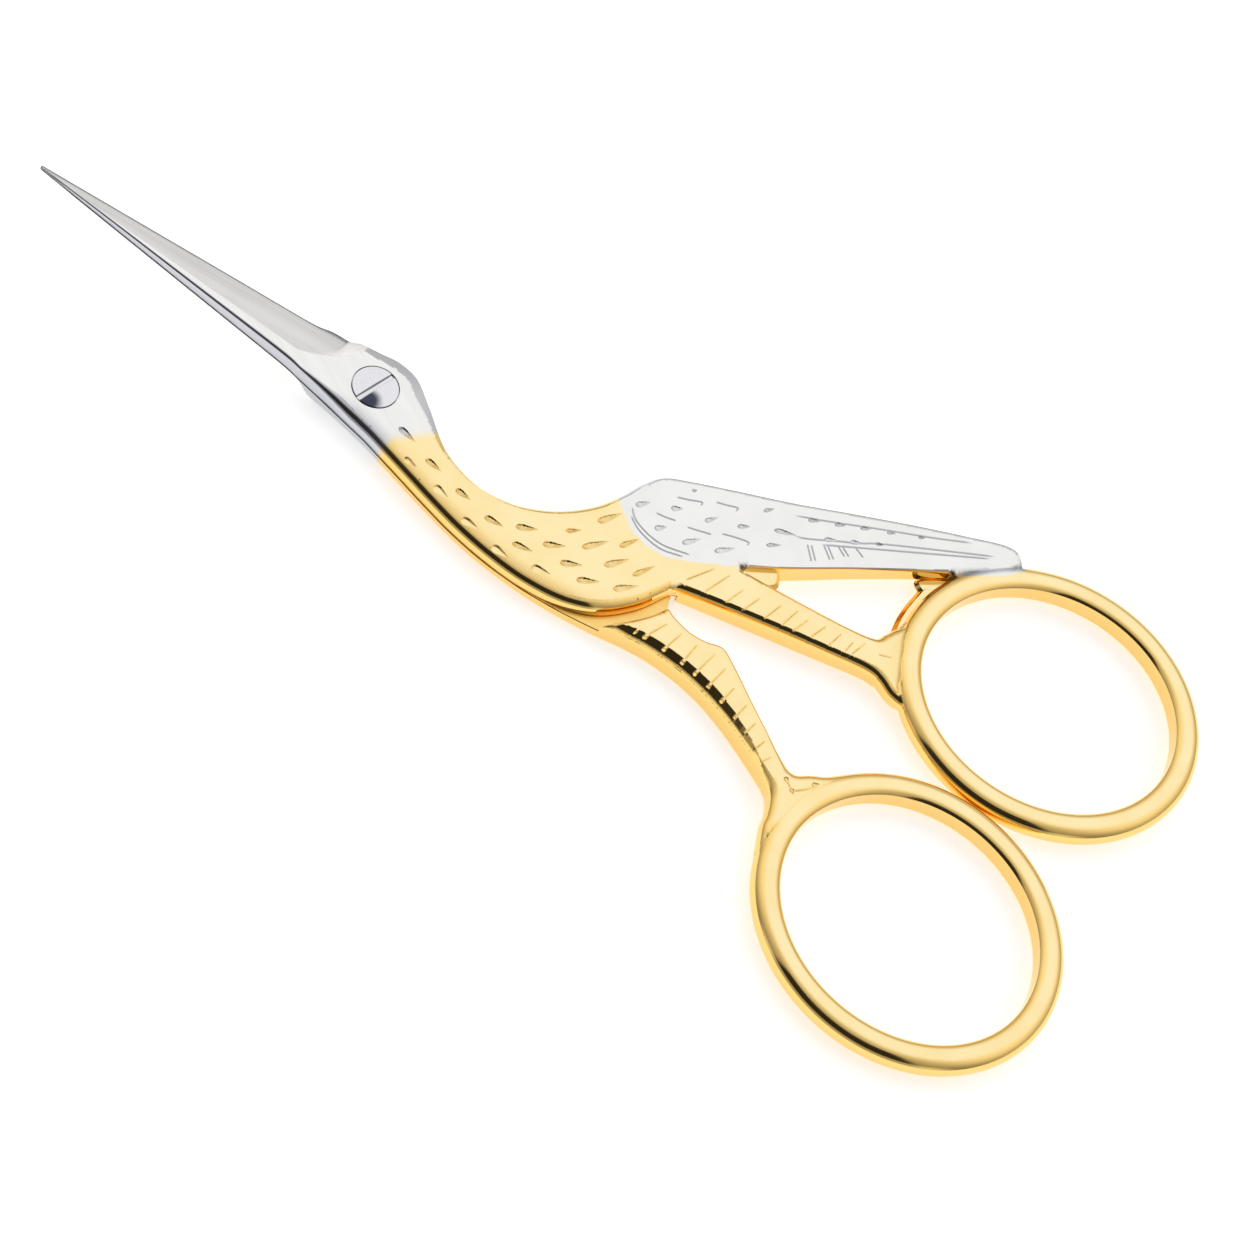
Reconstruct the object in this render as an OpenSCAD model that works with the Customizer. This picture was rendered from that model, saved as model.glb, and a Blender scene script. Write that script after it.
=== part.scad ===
// Stork embroidery scissors: two forged halves, lapped at the middle and joined by one slotted screw.
// The origin is on the screw's axis, at the plane that the closed scissors lie on.
// +X runs from the screw to the finger rings, +Y to the ring of the front half, +Z out of the front face.

/* [Blades] */
// Distance from the screw's axis to the point
blade_len = 28; // [24:0.5:34]
// Width of each blade at its heel, 21.5 mm from the point
heel_w = 4.05; // [3.6:0.05:4.4]
// Width of each blade at its point
point_w = 0.16; // [0.1:0.02:0.3]
// Height of each blade above the lap at its point
point_h = 0.15; // [0.1:0.05:0.4]
// Angle of the ground bevel to the lap face
bevel_angle = 18; // [16:0.5:20]
// Height of the cutting edge left on the lap side of the bevel
edge_land = 0.06; // [0.02:0.02:0.12]

/* [Forging] */
// Thickness of the closed scissors over both halves
thick = 2.4; // [2:0.1:2.9]
// Gap between the two lap faces
lap_gap = 0.03; // [0.02:0.01:0.08]
// Distance from the screw's axis to the near side of the finger rings
reach = 39.1; // [33:0.1:47]
// Free space round a body end where it nests in the shoulder of the other half
nest_gap = 0.9; // [0.6:0.1:1]
// Radius of the rounded edges on head, neck and body
edge_r = 0.85; // [0.5:0.05:0.9]

/* [Finger rings] */
// Inside length of a finger ring
ring_len = 19.1; // [16:0.1:23]
// Inside width of a finger ring
ring_w = 17.3; // [14.5:0.1:21]
// Diameter of the round section of a ring
ring_d = 1.9; // [1.6:0.1:2.2]
// Angle of a ring's long axis to the centre line
ring_turn = 10.8; // [0:0.2:15]
// Space left between the two closed rings
ring_gap = 0.1; // [0.05:0.05:1]

/* [Feathers] */
// Width of a struck feather nick at its blunt end
nick_w = 0.44; // [0.3:0.02:0.5]
// Depth of a nick at its blunt end
nick_depth = 0.12; // [0.05:0.01:0.15]

/* [Legs] */
// Depth of the scallops across the rear leg
scallop_depth = 0.14; // [0.05:0.01:0.2]
// Number of scallops across the rear leg
scallops = 9; // [6:1:10]
// Depth of the cuts across the front leg
cut_depth = 0.1; // [0.05:0.01:0.2]
// Number of cuts across the front leg
cuts = 11; // [6:1:12]

/* [Screw] */
// Diameter of the screw's head
head_d = 3.34; // [2.8:0.02:4]
// Height of the head from its seat to its rim
head_h = 0.62; // [0.5:0.02:0.75]
// Height of the head's rim above the front face
head_proud = 0.05; // [0:0.01:0.1]
// Rise of the domed head above its rim
dome_h = 0.1; // [0.05:0.01:0.2]
// Diameter of the plain shank that the front half turns on
shank_d = 2.2; // [1.8:0.1:2.6]
// Diameter over the threaded end
thread_d = 1.8; // [1.4:0.1:2]
// Running clearance round the shank, on the radius
shank_fit = 0.05; // [0.02:0.01:0.1]
// Clearance round the head in its seat, on the radius
seat_fit = 0.06; // [0.04:0.01:0.12]
// Clearance round the threaded end, on the radius
thread_fit = 0.01; // [0.01:0.01:0.05]
// Width of the screwdriver slot
slot_w = 0.36; // [0.25:0.01:0.5]
// Depth of the screwdriver slot
slot_depth = 0.4; // [0.3:0.02:0.5]
// Direction of the slot as the screw is left
slot_turn = 72; // [0:1:180]

/* [Hidden] */
mid = thick / 2;
// Fine steps between two rows of a limb, and the angles of its rounded edges
row_steps = 3;
rim = [90, 60, 30, 0];
ring_r = ring_d / 2;
oval_a = ring_len / 2 + ring_r;
oval_b = ring_w / 2 + ring_r;
// Farthest reach of a turned oval along one axis
function oval_reach(a, b, angle) = sqrt(pow(a * cos(angle), 2) + pow(b * sin(angle), 2));
ring_centre = [
    reach + ring_r + oval_reach(oval_a, oval_b, ring_turn),
    ring_gap / 2 + ring_r + oval_reach(oval_b, oval_a, ring_turn)];
seat_z = thick + head_proud - head_h;
past = 1;

// Every row across a limb is [lower x, lower y, upper x, upper y, front drop, back drop, edge radius].
// The drops say how far the limb's faces lie inside the full thickness.
blade_heel_x = 6.5;
blade_run = blade_len - blade_heel_x;
heel_drop = 0.12;
point_y = 0.2;
heel_y = 0.1;
// A power under 1 keeps the blade thick for longer before it thins to the point
thinning = 0.87;
function blade_row(t) =
    let (
        x = -blade_len + blade_run * t,
        y = point_y + (heel_y - point_y) * t,
        w = (point_w + (heel_w - point_w) * t) / 2,
        drop = (mid - point_h) * (1 - pow(t, thinning)) + heel_drop * pow(t, thinning),
        r = 0.05 + 0.1 * t)
    [x, y - w, x, y + w, drop, drop, r];
blade = [for (k = [0 : 4]) blade_row(k / 4)];

head_and_neck = [
    [-4.8, -2.2, -4.9, 2.5, 0.08, 0.08, 0.25],
    [-3.2, -2.48, -3.2, 2.65, 0.03, 0.03, 0.45],
    [-1.6, -2.78, -1.5, 2.88, 0, 0, 0.7],
    [-0.2, -3.05, 0.2, 3.2, 0, 0, edge_r],
    [1.6, -3.4, 2, 2.85, 0, 0, edge_r],
    [3.3, -3.85, 3.9, 1.4, 0, 0, edge_r],
    [5.3, -4.38, 6.3, -0.55, 0, 0, edge_r],
    [7.7, -5.02, 8.4, -1.43, 0, 0, edge_r],
    [10.2, -5.6, 10.3, -1.6, 0, 0, edge_r],
    [13, -6, 12.4, -1.15, 0, 0, edge_r]];
front_body = [
    [16, -6.1, 14.2, -0.2, 0, 0, edge_r],
    [19, -5.65, 15.7, 1.05, 0, 0, edge_r],
    [21.5, -4.5, 17, 2.65, 0, 0, edge_r],
    [23.4, -2.4, 18, 4.5, 0, 0, edge_r],
    [24.5, -0.2, 18.7, 6.3, 0.02, 0.02, 0.7]];
wing = [
    [25.3, 1.6, 19.6, 7.75, 0.05, 0.05, 0.65],
    [26.3, 3.4, 21.6, 8.95, 0.08, 0.08, 0.6],
    [27.8, 5.1, 24.5, 10.45, 0.12, 0.12, 0.6],
    [30.5, 7.2, 28, 12.25, 0.15, 0.22, 0.6],
    [34, 10.15, 32, 14.5, 0.18, 0.44, 0.6],
    [37.5, 13, 36, 16.7, 0.22, 0.58, 0.55],
    [40.7, 15.45, 39.4, 18.45, 0.25, 0.62, 0.5],
    [42.9, 17.25, 41.6, 19.55, 0.28, 0.64, 0.45],
    [43.8, 18.35, 42.9, 19.8, 0.32, 0.66, 0.4],
    [44, 18.8, 43.7, 19.3, 0.5, 0.75, 0.2]];
front_leg = [
    [21.8, -0.6, 21.8, 3.2, 0.3, 0.3, 0.8],
    [24.45, 0.32, 24.2, 4.3, 0.08, 0.08, 0.8],
    [28, 1.3, 27.8, 4.95, 0, 0, 0.8],
    [32, 2.3, 31.8, 5.45, 0, 0, 0.8],
    [36, 3.25, 35.7, 6.05, 0.08, 0.08, 0.8],
    [38.6, 3.85, 37.9, 6.6, 0.12, 0.12, 0.8],
    [39.8, 3.85, 38.4, 7.4, 0.18, 0.18, 0.8],
    [41, 3.35, 38.8, 8.3, 0.25, 0.25, 0.8],
    [42.2, 3.2, 39.5, 9.6, 0.4, 0.4, 0.7]];
rear_body = [
    [16, -6.1, 14.2, -0.2, 0, 0, edge_r],
    [18.6, -5.92, 15.7, 1.05, 0, 0, edge_r],
    [20.5, -5.65, 17.2, 2.6, 0, 0, edge_r],
    [22, -5.38, 19.2, 3.9, 0, 0, 0.8],
    [23.2, -5.12, 21.4, 4.1, 0, 0, 0.8],
    [24.2, -4.93, 23.3, 3, 0, 0, 0.8],
    [25, -4.8, 24.5, 1.1, 0, 0, 0.8],
    [25.6, -4.75, 25.1, -0.5, 0, 0, 0.8],
    [26.3, -4.71, 25.6, -1.4, 0, 0, 0.8]];
rear_leg = [
    [27.4, -4.72, 27.3, -1.85, 0, 0, 0.8],
    [28.6, -4.8, 28.6, -1.75, 0, 0, 0.8],
    [29.7, -4.98, 29.9, -1.4, 0, 0, 0.8],
    [31, -5.28, 31.4, -2.2, 0, 0, 0.8],
    [33, -5.98, 33.4, -3.55, 0, 0, 0.8],
    [35, -6.9, 35.4, -4.85, 0.02, 0.02, 0.8],
    [36.8, -7.9, 37.2, -5.95, 0.05, 0.05, 0.8],
    [37.9, -8.8, 38.5, -6.4, 0.1, 0.1, 0.8],
    [38.5, -10.1, 39.6, -5.6, 0.18, 0.18, 0.8],
    [38.75, -11.3, 40.7, -4.85, 0.25, 0.25, 0.8],
    [39.5, -12.9, 42, -3.9, 0.4, 0.4, 0.7]];

// Places behind the screw follow the reach of the handle.
base_reach = 39.1;
handle_stretch = reach / base_reach;
function placed(row) =
    let (k = [for (x = [row[0], row[2]]) x > 0 ? handle_stretch : 1])
    [row[0] * k[0], row[1], row[2] * k[1], row[3], row[4], row[5], row[6]];
function placed_rows(rows) = [for (row = rows) placed(row)];

// Point at share t between p1 and p2 on the smooth curve through four points
function curve_point(p0, p1, p2, p3, t) =
    0.5 * (2 * p1 + (p2 - p0) * t + (2 * p0 - 5 * p1 + 4 * p2 - p3) * t * t
        + (3 * p1 - p0 - 3 * p2 + p3) * t * t * t);
function smooth(pts) =
    let (last = len(pts) - 1)
    concat(
        [for (i = [0 : last - 1]) for (k = [0 : row_steps - 1])
            curve_point(pts[max(i - 1, 0)], pts[i], pts[i + 1], pts[min(i + 2, last)], k / row_steps)],
        [pts[last]]);

// Quarter round of radius r from one face at height h over the lap plane down to the wall
function quarter(wall, inward, h, r, side, angles) =
    [for (a = angles) concat(wall + inward * r * (1 - cos(a)), [mid + side * (h - r + r * sin(a))])];
function section(row) =
    let (
        low = [row[0], row[1]],
        up = [row[2], row[3]],
        d = (up - low) / norm(up - low),
        hf = mid - max(0, row[4]),
        hb = mid - max(0, row[5]),
        r = min(row[6], 0.9 * hf, 0.9 * hb, 0.45 * norm(up - low)),
        back = [rim[3], rim[2], rim[1], rim[0]])
    concat(
        quarter(up, -d, hf, r, 1, rim),
        quarter(up, -d, hb, r, -1, back),
        quarter(low, d, hb, r, -1, rim),
        quarter(low, d, hf, r, 1, back));
// Solid through the sections of a limb's rows
module limb(rows) {
    sections = [for (row = smooth(placed_rows(rows))) section(row)];
    n = len(sections[0]);
    last = len(sections) - 1;
    polyhedron(
        points = [for (s = sections) each s],
        faces = concat(
            [for (i = [0 : last - 1]) for (j = [0 : n - 1])
                let (a = i * n + j, b = i * n + (j + 1) % n)
                each [[a, b, b + n], [a, b + n, a + n]]],
            [for (j = [1 : n - 2]) [0, j + 1, j]],
            [for (j = [1 : n - 2]) [last * n, last * n + j, last * n + j + 1]]));
}
// Plan of a limb, from its lower and upper edges
module limb_plan(rows) {
    fine = smooth(placed_rows(rows));
    last = len(fine) - 1;
    polygon(concat(
        [for (row = fine) [row[0], row[1]]],
        [for (i = [last : -1 : 0]) [fine[i][2], fine[i][3]]]));
}

// Forged oval ring of round section
ring_steps = 56;
wire_steps = 14;
module ring() {
    n = wire_steps;
    m = ring_steps;
    translate([ring_centre[0], ring_centre[1], mid]) rotate(ring_turn) polyhedron(
        points = [for (i = [0 : m - 1]) for (j = [0 : n - 1])
            let (
                t = 360 * i / m,
                a = 360 * (j + 0.5) / n,
                out = [oval_b * cos(t), oval_a * sin(t)],
                p = [oval_a * cos(t), oval_b * sin(t)] + out / norm(out) * ring_r * cos(a))
            [p[0], p[1], ring_r * sin(a)]],
        faces = [for (i = [0 : m - 1]) for (j = [0 : n - 1])
            let (
                next = (i + 1) % m,
                a = i * n + j,
                b = i * n + (j + 1) % n,
                c = next * n + (j + 1) % n,
                d = next * n + j)
            each [[a, b, c], [a, c, d]]]);
}
// Space inside the ring's own centre line, where limbs that run into the ring end
module finger_space() {
    translate([ring_centre[0], ring_centre[1], -past]) rotate(ring_turn)
        linear_extrude(thick + 2 * past) scale([oval_a, oval_b]) circle(1, $fn = ring_steps);
}

// Straight bevel that a grinding wheel leaves, with the wheel's round run-out at the heel
edge_heel_y = heel_y + heel_w / 2;
edge_point_y = point_y + point_w / 2;
edge_yaw = atan((edge_heel_y - edge_point_y) / blade_run);
wheel_r = 3.45;
wheel_back = 0.7;
rear_wheel_back = 1.8;
runout_slope = 0.6;
wheel_depth = 3;
module ground_bevel(shift) {
    translate([-blade_heel_x, edge_heel_y, mid + lap_gap / 2 + edge_land])
        rotate([0, 0, edge_yaw]) rotate([-bevel_angle, 0, 0]) translate([-wheel_back - shift, 0, 0]) {
            translate([-blade_len, -3 * wheel_r, 0]) cube([blade_len, 4 * wheel_r, wheel_depth]);
            cylinder(h = wheel_depth, r1 = wheel_r, r2 = wheel_r + wheel_depth / runout_slope, $fn = 64);
        }
}
// Turns a shape over about the centre line, from one face of the scissors to the other
module turned_over() {
    translate([0, 0, mid]) rotate([180, 0, 0]) translate([0, 0, -mid]) children();
}

// Space over the lap face, with room all round the plan of the other half
neck_end = 14;
head_span = 20;
module lap_space(bottom, height) {
    translate([0, 0, bottom]) linear_extrude(height) {
        offset(delta = nest_gap) children();
        translate([-blade_len - past, -head_span / 2]) square([blade_len + past + neck_end, head_span]);
    }
}
front_tongue = concat(blade, head_and_neck, front_body);
rear_tongue = concat(blade, head_and_neck, rear_body);

// Webs of the forging in the two sharp corners of the gap between wing and leg
web_drop = 0.7;
web_h = 1.2;
web_low = mid - web_drop;
module webs() {
    translate([0, 0, web_low]) linear_extrude(web_h) scale([handle_stretch, 1]) {
        polygon([[26, 3.6], [30.1, 5], [30.4, 6], [30.1, 7.1], [27, 6]]);
        polygon([[37.6, 13.2], [38.7, 12.6], [39.1, 12], [40.5, 12.4], [41, 15.4], [39.5, 15]]);
    }
}

// Feather nicks over neck and body, [x, y of the blunt end, x, y of the tail]
nicks = [
    [3.1, -1.65, 4.4, -1.87], [5.9, -2.55, 7.05, -2.67], [4.65, -3.35, 5.65, -3.5], [8.8, -3.2, 9.85, -3.25],
    [7.45, -3.9, 8.55, -4.1], [11.5, -3.7, 12.75, -3.57], [10.3, -4.8, 11.45, -4.78], [13.6, -2.9, 14.8, -2.2],
    [14.1, -4.2, 15.4, -3.9], [15.8, -2.85, 17, -2.05], [17.5, -3.3, 18.7, -2.55], [18.1, -1.2, 19.2, 0.3],
    [20.05, -1.4, 21.05, 0], [17.9, 1.3, 18.75, 2.8], [20.1, 0.6, 20.8, 1.9]];
// Nicks over the front part of the wing, whose face lies a little lower
wing_nicks = [
    [21.3, 3.45, 21.85, 4.1], [23.45, 3.8, 24.2, 4.85], [25.4, 4.7, 26.2, 5.7], [21.4, 5.65, 22, 6.25],
    [23.8, 6.4, 24.3, 7.2], [25.85, 7.6, 26.5, 8.3]];
wing_drop = 0.08;
// Round blunt end and straight sides down to the tail
function teardrop(size, r) =
    concat([for (a = [60 : 30 : 300]) [r + r * cos(a), r * sin(a)]], [[size, 0]]);
module feather_nicks(rows, face) {
    for (row = rows) {
        run = [row[2] - row[0], row[3] - row[1]];
        size = norm(run);
        lift = atan(0.8 * nick_depth / size);
        translate([row[0] * handle_stretch, row[1], face - nick_depth]) rotate([0, -lift, atan2(run[1], run[0])])
            linear_extrude(1) polygon(teardrop(size, nick_w / 2));
    }
}

// Fine slanted cuts across the front of the front leg, seen as scales, from the first to the last
cut_first = [25.8, 2.6];
cut_last = [37.6, 4.9];
cut_half = [1.15, 0.8];
cut_lean = -14;
cut_block = 2;
module leg_cuts() {
    for (k = [0 : cuts - 1]) {
        t = k / (cuts - 1);
        at = cut_first + (cut_last - cut_first) * t;
        half = cut_half[0] + (cut_half[1] - cut_half[0]) * t;
        translate([at[0] * handle_stretch, at[1], thick - cut_depth]) rotate([0, 0, cut_lean])
            rotate([0, -45, 0]) translate([0, -half, 0]) cube([cut_block, 2 * half, cut_block]);
    }
}
// Shallow hollows side by side across the front of the rear leg, with a ridge between each two
scallop_first = [25.9, -3.4];
scallop_pitch = 1.25;
scallop_fall = 0.55;
scallop_level = 3;
scallop_lean = -10;
scallop_run = 6;
module leg_scallops() {
    r = (pow(scallop_pitch / 2, 2) + pow(scallop_depth, 2)) / (2 * scallop_depth);
    for (k = [0 : scallops - 1]) {
        x = scallop_first[0] + scallop_pitch * k;
        y = scallop_first[1] - scallop_fall * max(0, k - scallop_level);
        translate([x * handle_stretch, y, thick - scallop_depth + r]) rotate([0, 0, scallop_lean])
            rotate([90, 0, 0]) cylinder(h = scallop_run, r = r, center = true, $fn = 72);
    }
}

// Front half: blade, head, neck, body with the wing as its tail, leg and ring, in one forging
module front_forging() {
    ring();
    difference() {
        union() {
            limb(concat(front_tongue, wing));
            limb(front_leg);
            webs();
        }
        finger_space();
    }
}
module front_half() {
    color("gold") difference() {
        resize([0, 0, thick]) difference() {
            front_forging();
            lap_space(-past, mid + lap_gap / 2 + past) limb_plan(rear_tongue);
            ground_bevel(0);
            leg_cuts();
            feather_nicks(nicks, thick);
            feather_nicks(wing_nicks, thick - wing_drop);
        }
        cylinder(h = 3 * thick, r = shank_d / 2 + shank_fit, center = true, $fn = 48);
        translate([0, 0, seat_z]) cylinder(h = thick, r = head_d / 2 + seat_fit, $fn = 64);
    }
}

// Rear half: blade, head, neck, body, ribbed leg and ring, in one forging
module rear_forging() {
    mirror([0, 1, 0]) ring();
    difference() {
        limb(concat(rear_tongue, rear_leg));
        mirror([0, 1, 0]) finger_space();
    }
}
module rear_half() {
    color("goldenrod") difference() {
        resize([0, 0, thick]) difference() {
            rear_forging();
            lap_space(mid - lap_gap / 2, thick) {
                limb_plan(concat(front_tongue, wing));
                limb_plan(front_leg);
            }
            turned_over() ground_bevel(rear_wheel_back);
            leg_scallops();
        }
        cylinder(h = 3 * thick, r = thread_d / 2 + thread_fit, center = true, $fn = 48);
    }
}

// Slotted screw: domed head flush in the front half, plain shank, threaded end in the rear half
dome_r = (pow(head_d / 2, 2) + pow(dome_h, 2)) / (2 * dome_h);
end_inset = 0.05;
module pivot_screw() {
    color("silver") difference() {
        union() {
            translate([0, 0, end_inset]) cylinder(h = mid - end_inset, r = thread_d / 2, $fn = 48);
            translate([0, 0, mid - lap_gap / 2]) cylinder(h = seat_z - mid + lap_gap, r = shank_d / 2, $fn = 48);
            intersection() {
                translate([0, 0, seat_z + lap_gap / 2]) cylinder(h = head_h + dome_h, r = head_d / 2, $fn = 64);
                translate([0, 0, seat_z + head_h + dome_h - dome_r]) sphere(r = dome_r, $fn = 96);
            }
        }
        translate([0, 0, seat_z + head_h + dome_h - slot_depth]) rotate(slot_turn)
            translate([-head_d, -slot_w / 2, 0]) cube([2 * head_d, slot_w, 1]);
    }
}

front_half();
rear_half();
pivot_screw();
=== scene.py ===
import math

import bpy
import numpy as np
from mathutils import Matrix, Vector, kdtree
from mathutils.geometry import delaunay_2d_cdt


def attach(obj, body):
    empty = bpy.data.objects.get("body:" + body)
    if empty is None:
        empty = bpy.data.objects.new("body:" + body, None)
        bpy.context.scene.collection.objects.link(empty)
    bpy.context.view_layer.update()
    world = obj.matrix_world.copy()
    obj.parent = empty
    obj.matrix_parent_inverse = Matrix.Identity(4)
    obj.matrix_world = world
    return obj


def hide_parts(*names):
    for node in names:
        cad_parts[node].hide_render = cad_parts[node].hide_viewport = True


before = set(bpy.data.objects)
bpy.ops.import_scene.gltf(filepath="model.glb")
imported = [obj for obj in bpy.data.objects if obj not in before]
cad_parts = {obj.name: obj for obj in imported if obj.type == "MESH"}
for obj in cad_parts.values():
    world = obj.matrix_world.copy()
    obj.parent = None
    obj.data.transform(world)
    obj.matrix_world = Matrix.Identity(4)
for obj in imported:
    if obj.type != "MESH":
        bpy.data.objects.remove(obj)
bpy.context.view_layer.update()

# FRONT HALF
# One drop forging of steel: blade, head, neck, body, wing, leg and ring. The forged
# edges are rounded and polished, the blade is ground flat on a wheel, and the body,
# leg and ring are gold plated while the wing has satin silver plating.

full = 2.4                        # thickness over both closed halves, mm
mid = full / 2                    # height of the lap
lap_gap = 0.03                    # space between the two lap faces
crown, crown_width = 0.045, 2.2   # how far a face falls away at its edges, and how far in that begins
tip_x, heel_x = -28, -6.5         # both ends of the blade
tip_top, heel_top = 0.28, 2.125   # y of the blade's upper edge at both ends
seam = -8.0                       # x behind which the outline is found on a grid
seat_floor = 1.83                 # height at which the screw's head lies in its seat
probe = 0.004                     # step over which slopes are measured


def flowing(rows, per_span=16):
    """Rows of numbers, filled in along the smooth curve that runs through all of them."""
    rows = np.array(rows, float)
    last = len(rows) - 1
    out = []
    for i in range(last):
        a, b, c, d = (rows[min(max(k, 0), last)] for k in range(i - 1, i + 3))
        for t in np.arange(per_span) / per_span:
            square, cube = (2 * a - 5 * b + 4 * c - d) * t ** 2, (3 * b - a - 3 * c + d) * t ** 3
            out.append(0.5 * (2 * b + (c - a) * t + square + cube))
    out.append(rows[-1])
    return np.array(out)


def evenly(points, gap):
    """The same line with its points a set gap apart."""
    steps = np.linalg.norm(np.diff(points[:, :2], axis=0), axis=1)
    run = np.concatenate([[0], np.cumsum(steps)])
    keep = np.concatenate([[True], np.diff(run) > 1e-9])
    at = np.linspace(0, run[-1], max(int(round(run[-1] / gap)), 2) + 1)
    return np.stack([np.interp(at, run[keep], column[keep]) for column in points.T], axis=1)


def unit(v):
    """Rows of numbers, each scaled to a length of 1."""
    return v / np.maximum(np.linalg.norm(v, axis=1), 1e-9)[:, None]


def lifted(path, height):
    """Points of the plan with a third number, which is the same for all or one for each."""
    return np.column_stack([path, np.broadcast_to(height, len(path))])


def slopes(rule, q, step):
    """What a rule gives at each point, and how fast that rises along x and y."""
    here = rule(q)
    return here, np.column_stack([rule(q + [step, 0]) - here, rule(q + [0, step]) - here]) / step


class Line:
    """A line of points to measure from, each with its facts. The outward side of a closed one is positive."""

    def __init__(self, points, closed):
        self.closed = closed
        p = points[:, :2]
        if closed:
            area = np.sum(p[:, 0] * np.roll(p[:, 1], -1) - np.roll(p[:, 0], -1) * p[:, 1])
            if area < 0:
                points = points[::-1]
                p = points[:, :2]
            way = np.roll(p, -1, axis=0) - np.roll(p, 1, axis=0)
        else:
            way = np.gradient(p, axis=0)
        way = unit(way)
        self.p, self.facts = p, points[:, 2:]
        self.out, self.way = np.stack([way[:, 1], -way[:, 0]], axis=1), way
        self.tree = kdtree.KDTree(len(p))
        for i, (x, y) in enumerate(p):
            self.tree.insert((x, y, 0), i)
        self.tree.balance()

    def near(self, q):
        """For each point: signed distance to the nearest spot, and its outward direction, way and facts."""
        find = self.tree.find
        hit = np.fromiter((find((x, y, 0))[1] for x, y in q), int, len(q))
        n = len(self.p)
        tries = []
        for i in (hit - 1, hit):
            j = i + 1
            i, j = (i % n, j % n) if self.closed else (np.clip(i, 0, n - 2), np.clip(j, 1, n - 1))
            a, step = self.p[i], self.p[j] - self.p[i]
            t = np.clip(np.sum((q - a) * step, axis=1) / np.maximum(np.sum(step * step, axis=1), 1e-18), 0, 1)
            foot = a + step * t[:, None]
            away = np.linalg.norm(q - foot, axis=1)
            tries.append((away[:, None], foot, i[:, None], j[:, None], t[:, None]))
        nearer = tries[1][0] < tries[0][0]
        away, foot, i, j, t = (np.where(nearer, b, a) for a, b in zip(*tries))

        def there(values):
            return values[i[:, 0]] * (1 - t) + values[j[:, 0]] * t

        out = unit(there(self.out))
        side = np.sign(np.sum((q - foot) * out, axis=1))
        return away[:, 0] * np.where(side == 0, 1, side), out, there(self.way), there(self.facts)


class Limb:
    """One forged limb, from rows of [lower x, y, upper x, y, front drop, back drop, edge radius, and the sine
    of the angle at which the lower and the upper edge leave the flat]."""

    def __init__(self, rows, reach_in=None):
        fine = flowing(rows)
        low, up = fine[:, :2], fine[:, 2:4]
        # the rounding never takes more than the height or the half width
        half = np.linalg.norm(up - low, axis=1) / 2
        heights = mid - np.maximum(fine[:, 4:6], 0)
        edge = np.minimum(np.minimum(fine[:, 6], 0.9 * heights.min(axis=1)), 0.9 * half)
        far, near = (evenly(np.array(pair), 0.08)[1:-1] for pair in ((low[-1], up[-1]), (up[0], low[0])))
        self.edge = Line(np.concatenate([evenly(low, 0.08), far, evenly(up, 0.08)[::-1], near]), True)
        n = len(fine)
        facts = [heights, edge, fine[:, 7:9], np.full(n, crown), np.ones(n)]
        spine = evenly(np.column_stack([(low + up) / 2] + facts), 0.1)
        rise = np.gradient(spine[:, 2:4], axis=0) / 0.1
        self.spine = Line(np.column_stack([spine, rise]), False)
        self.reach_in = reach_in

    def depth(self, q):
        """Depth inside the limb's outline, which ends a little way into the ring that it runs into."""
        d, out, _, _ = self.edge.near(q)
        d = -d
        if self.reach_in is not None:
            inner, inner_out, _, _ = self.reach_in.near(q)
            inner = inner + 0.3
            cut = inner < d
            d = np.where(cut, inner, d)
            out = np.where(cut[:, None], -inner_out, out)
        return d, out

    def form(self, q):
        """Sizes, rise of the two heights along the limb, and the limb's direction."""
        _, _, way, facts = self.spine.near(q)
        return facts[:, :7], facts[:, 7:], way


class Ring:
    """An oval finger ring: round outside, with a soft corner and a straight wall inside."""
    inner_corner, inner_lean = 0.75, 0.766

    def __init__(self, centre, across, turn, wire):
        t = np.linspace(0, 2 * math.pi, 700, endpoint=False)
        c, s = math.cos(turn), math.sin(turn)
        x, y = across[0] * np.cos(t), across[1] * np.sin(t)
        self.line = Line(np.column_stack([centre[0] + x * c - y * s, centre[1] + x * s + y * c]), True)
        self.wire = wire

    def depth(self, q):
        d, out, _, _ = self.line.near(q)
        side = np.where(d < 0, -1, 1)
        return self.wire - np.abs(d), out * side[:, None]

    def form(self, q):
        n = len(q)
        d, _, _, _ = self.line.near(q)
        sizes = np.tile([self.wire, self.wire, self.wire, 0, 0, 0, 1], (n, 1))
        sizes[d < 0] = [self.wire, self.wire, self.inner_corner, 0, 0, 0, self.inner_lean]
        return sizes, np.zeros((n, 2)), np.tile([1.0, 0.0], (n, 1))


class Forging:
    """Limbs and ring grown together, with small fillets where they meet."""
    blend = 0.35

    def __init__(self, parts, fillet):
        self.parts, self.fillet = parts, fillet

    def depth(self, q):
        d, out = self.parts[0].depth(q)
        for part in self.parts[1:]:
            e, e_out = part.depth(q)
            apart = d - e
            share = np.clip(0.5 + apart / (2 * self.fillet), 0, 1)
            d = np.maximum(d, e) + np.maximum(self.fillet - np.abs(apart), 0) ** 2 / (4 * self.fillet)
            out = out * share[:, None] + e_out * (1 - share[:, None])
        return d, unit(out)

    def form(self, q):
        """Front and back height over the lap, edge radius, lower and upper crease, crown and the sine of the
        angle at which the rounding meets the wall, and how fast the two heights rise along x and y."""
        total, sizes, slope = 0, 0, 0
        for part in self.parts:
            d, _ = part.depth(q)
            w = np.exp(np.clip(d, -8, 1) / self.blend)[:, None]
            size, rise, way = part.form(q)
            total = total + w
            sizes = sizes + w * size
            slope = slope + w[:, :, None] * rise[:, :, None] * way[:, None, :]
        return sizes / total, slope / total[:, :, None]


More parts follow.
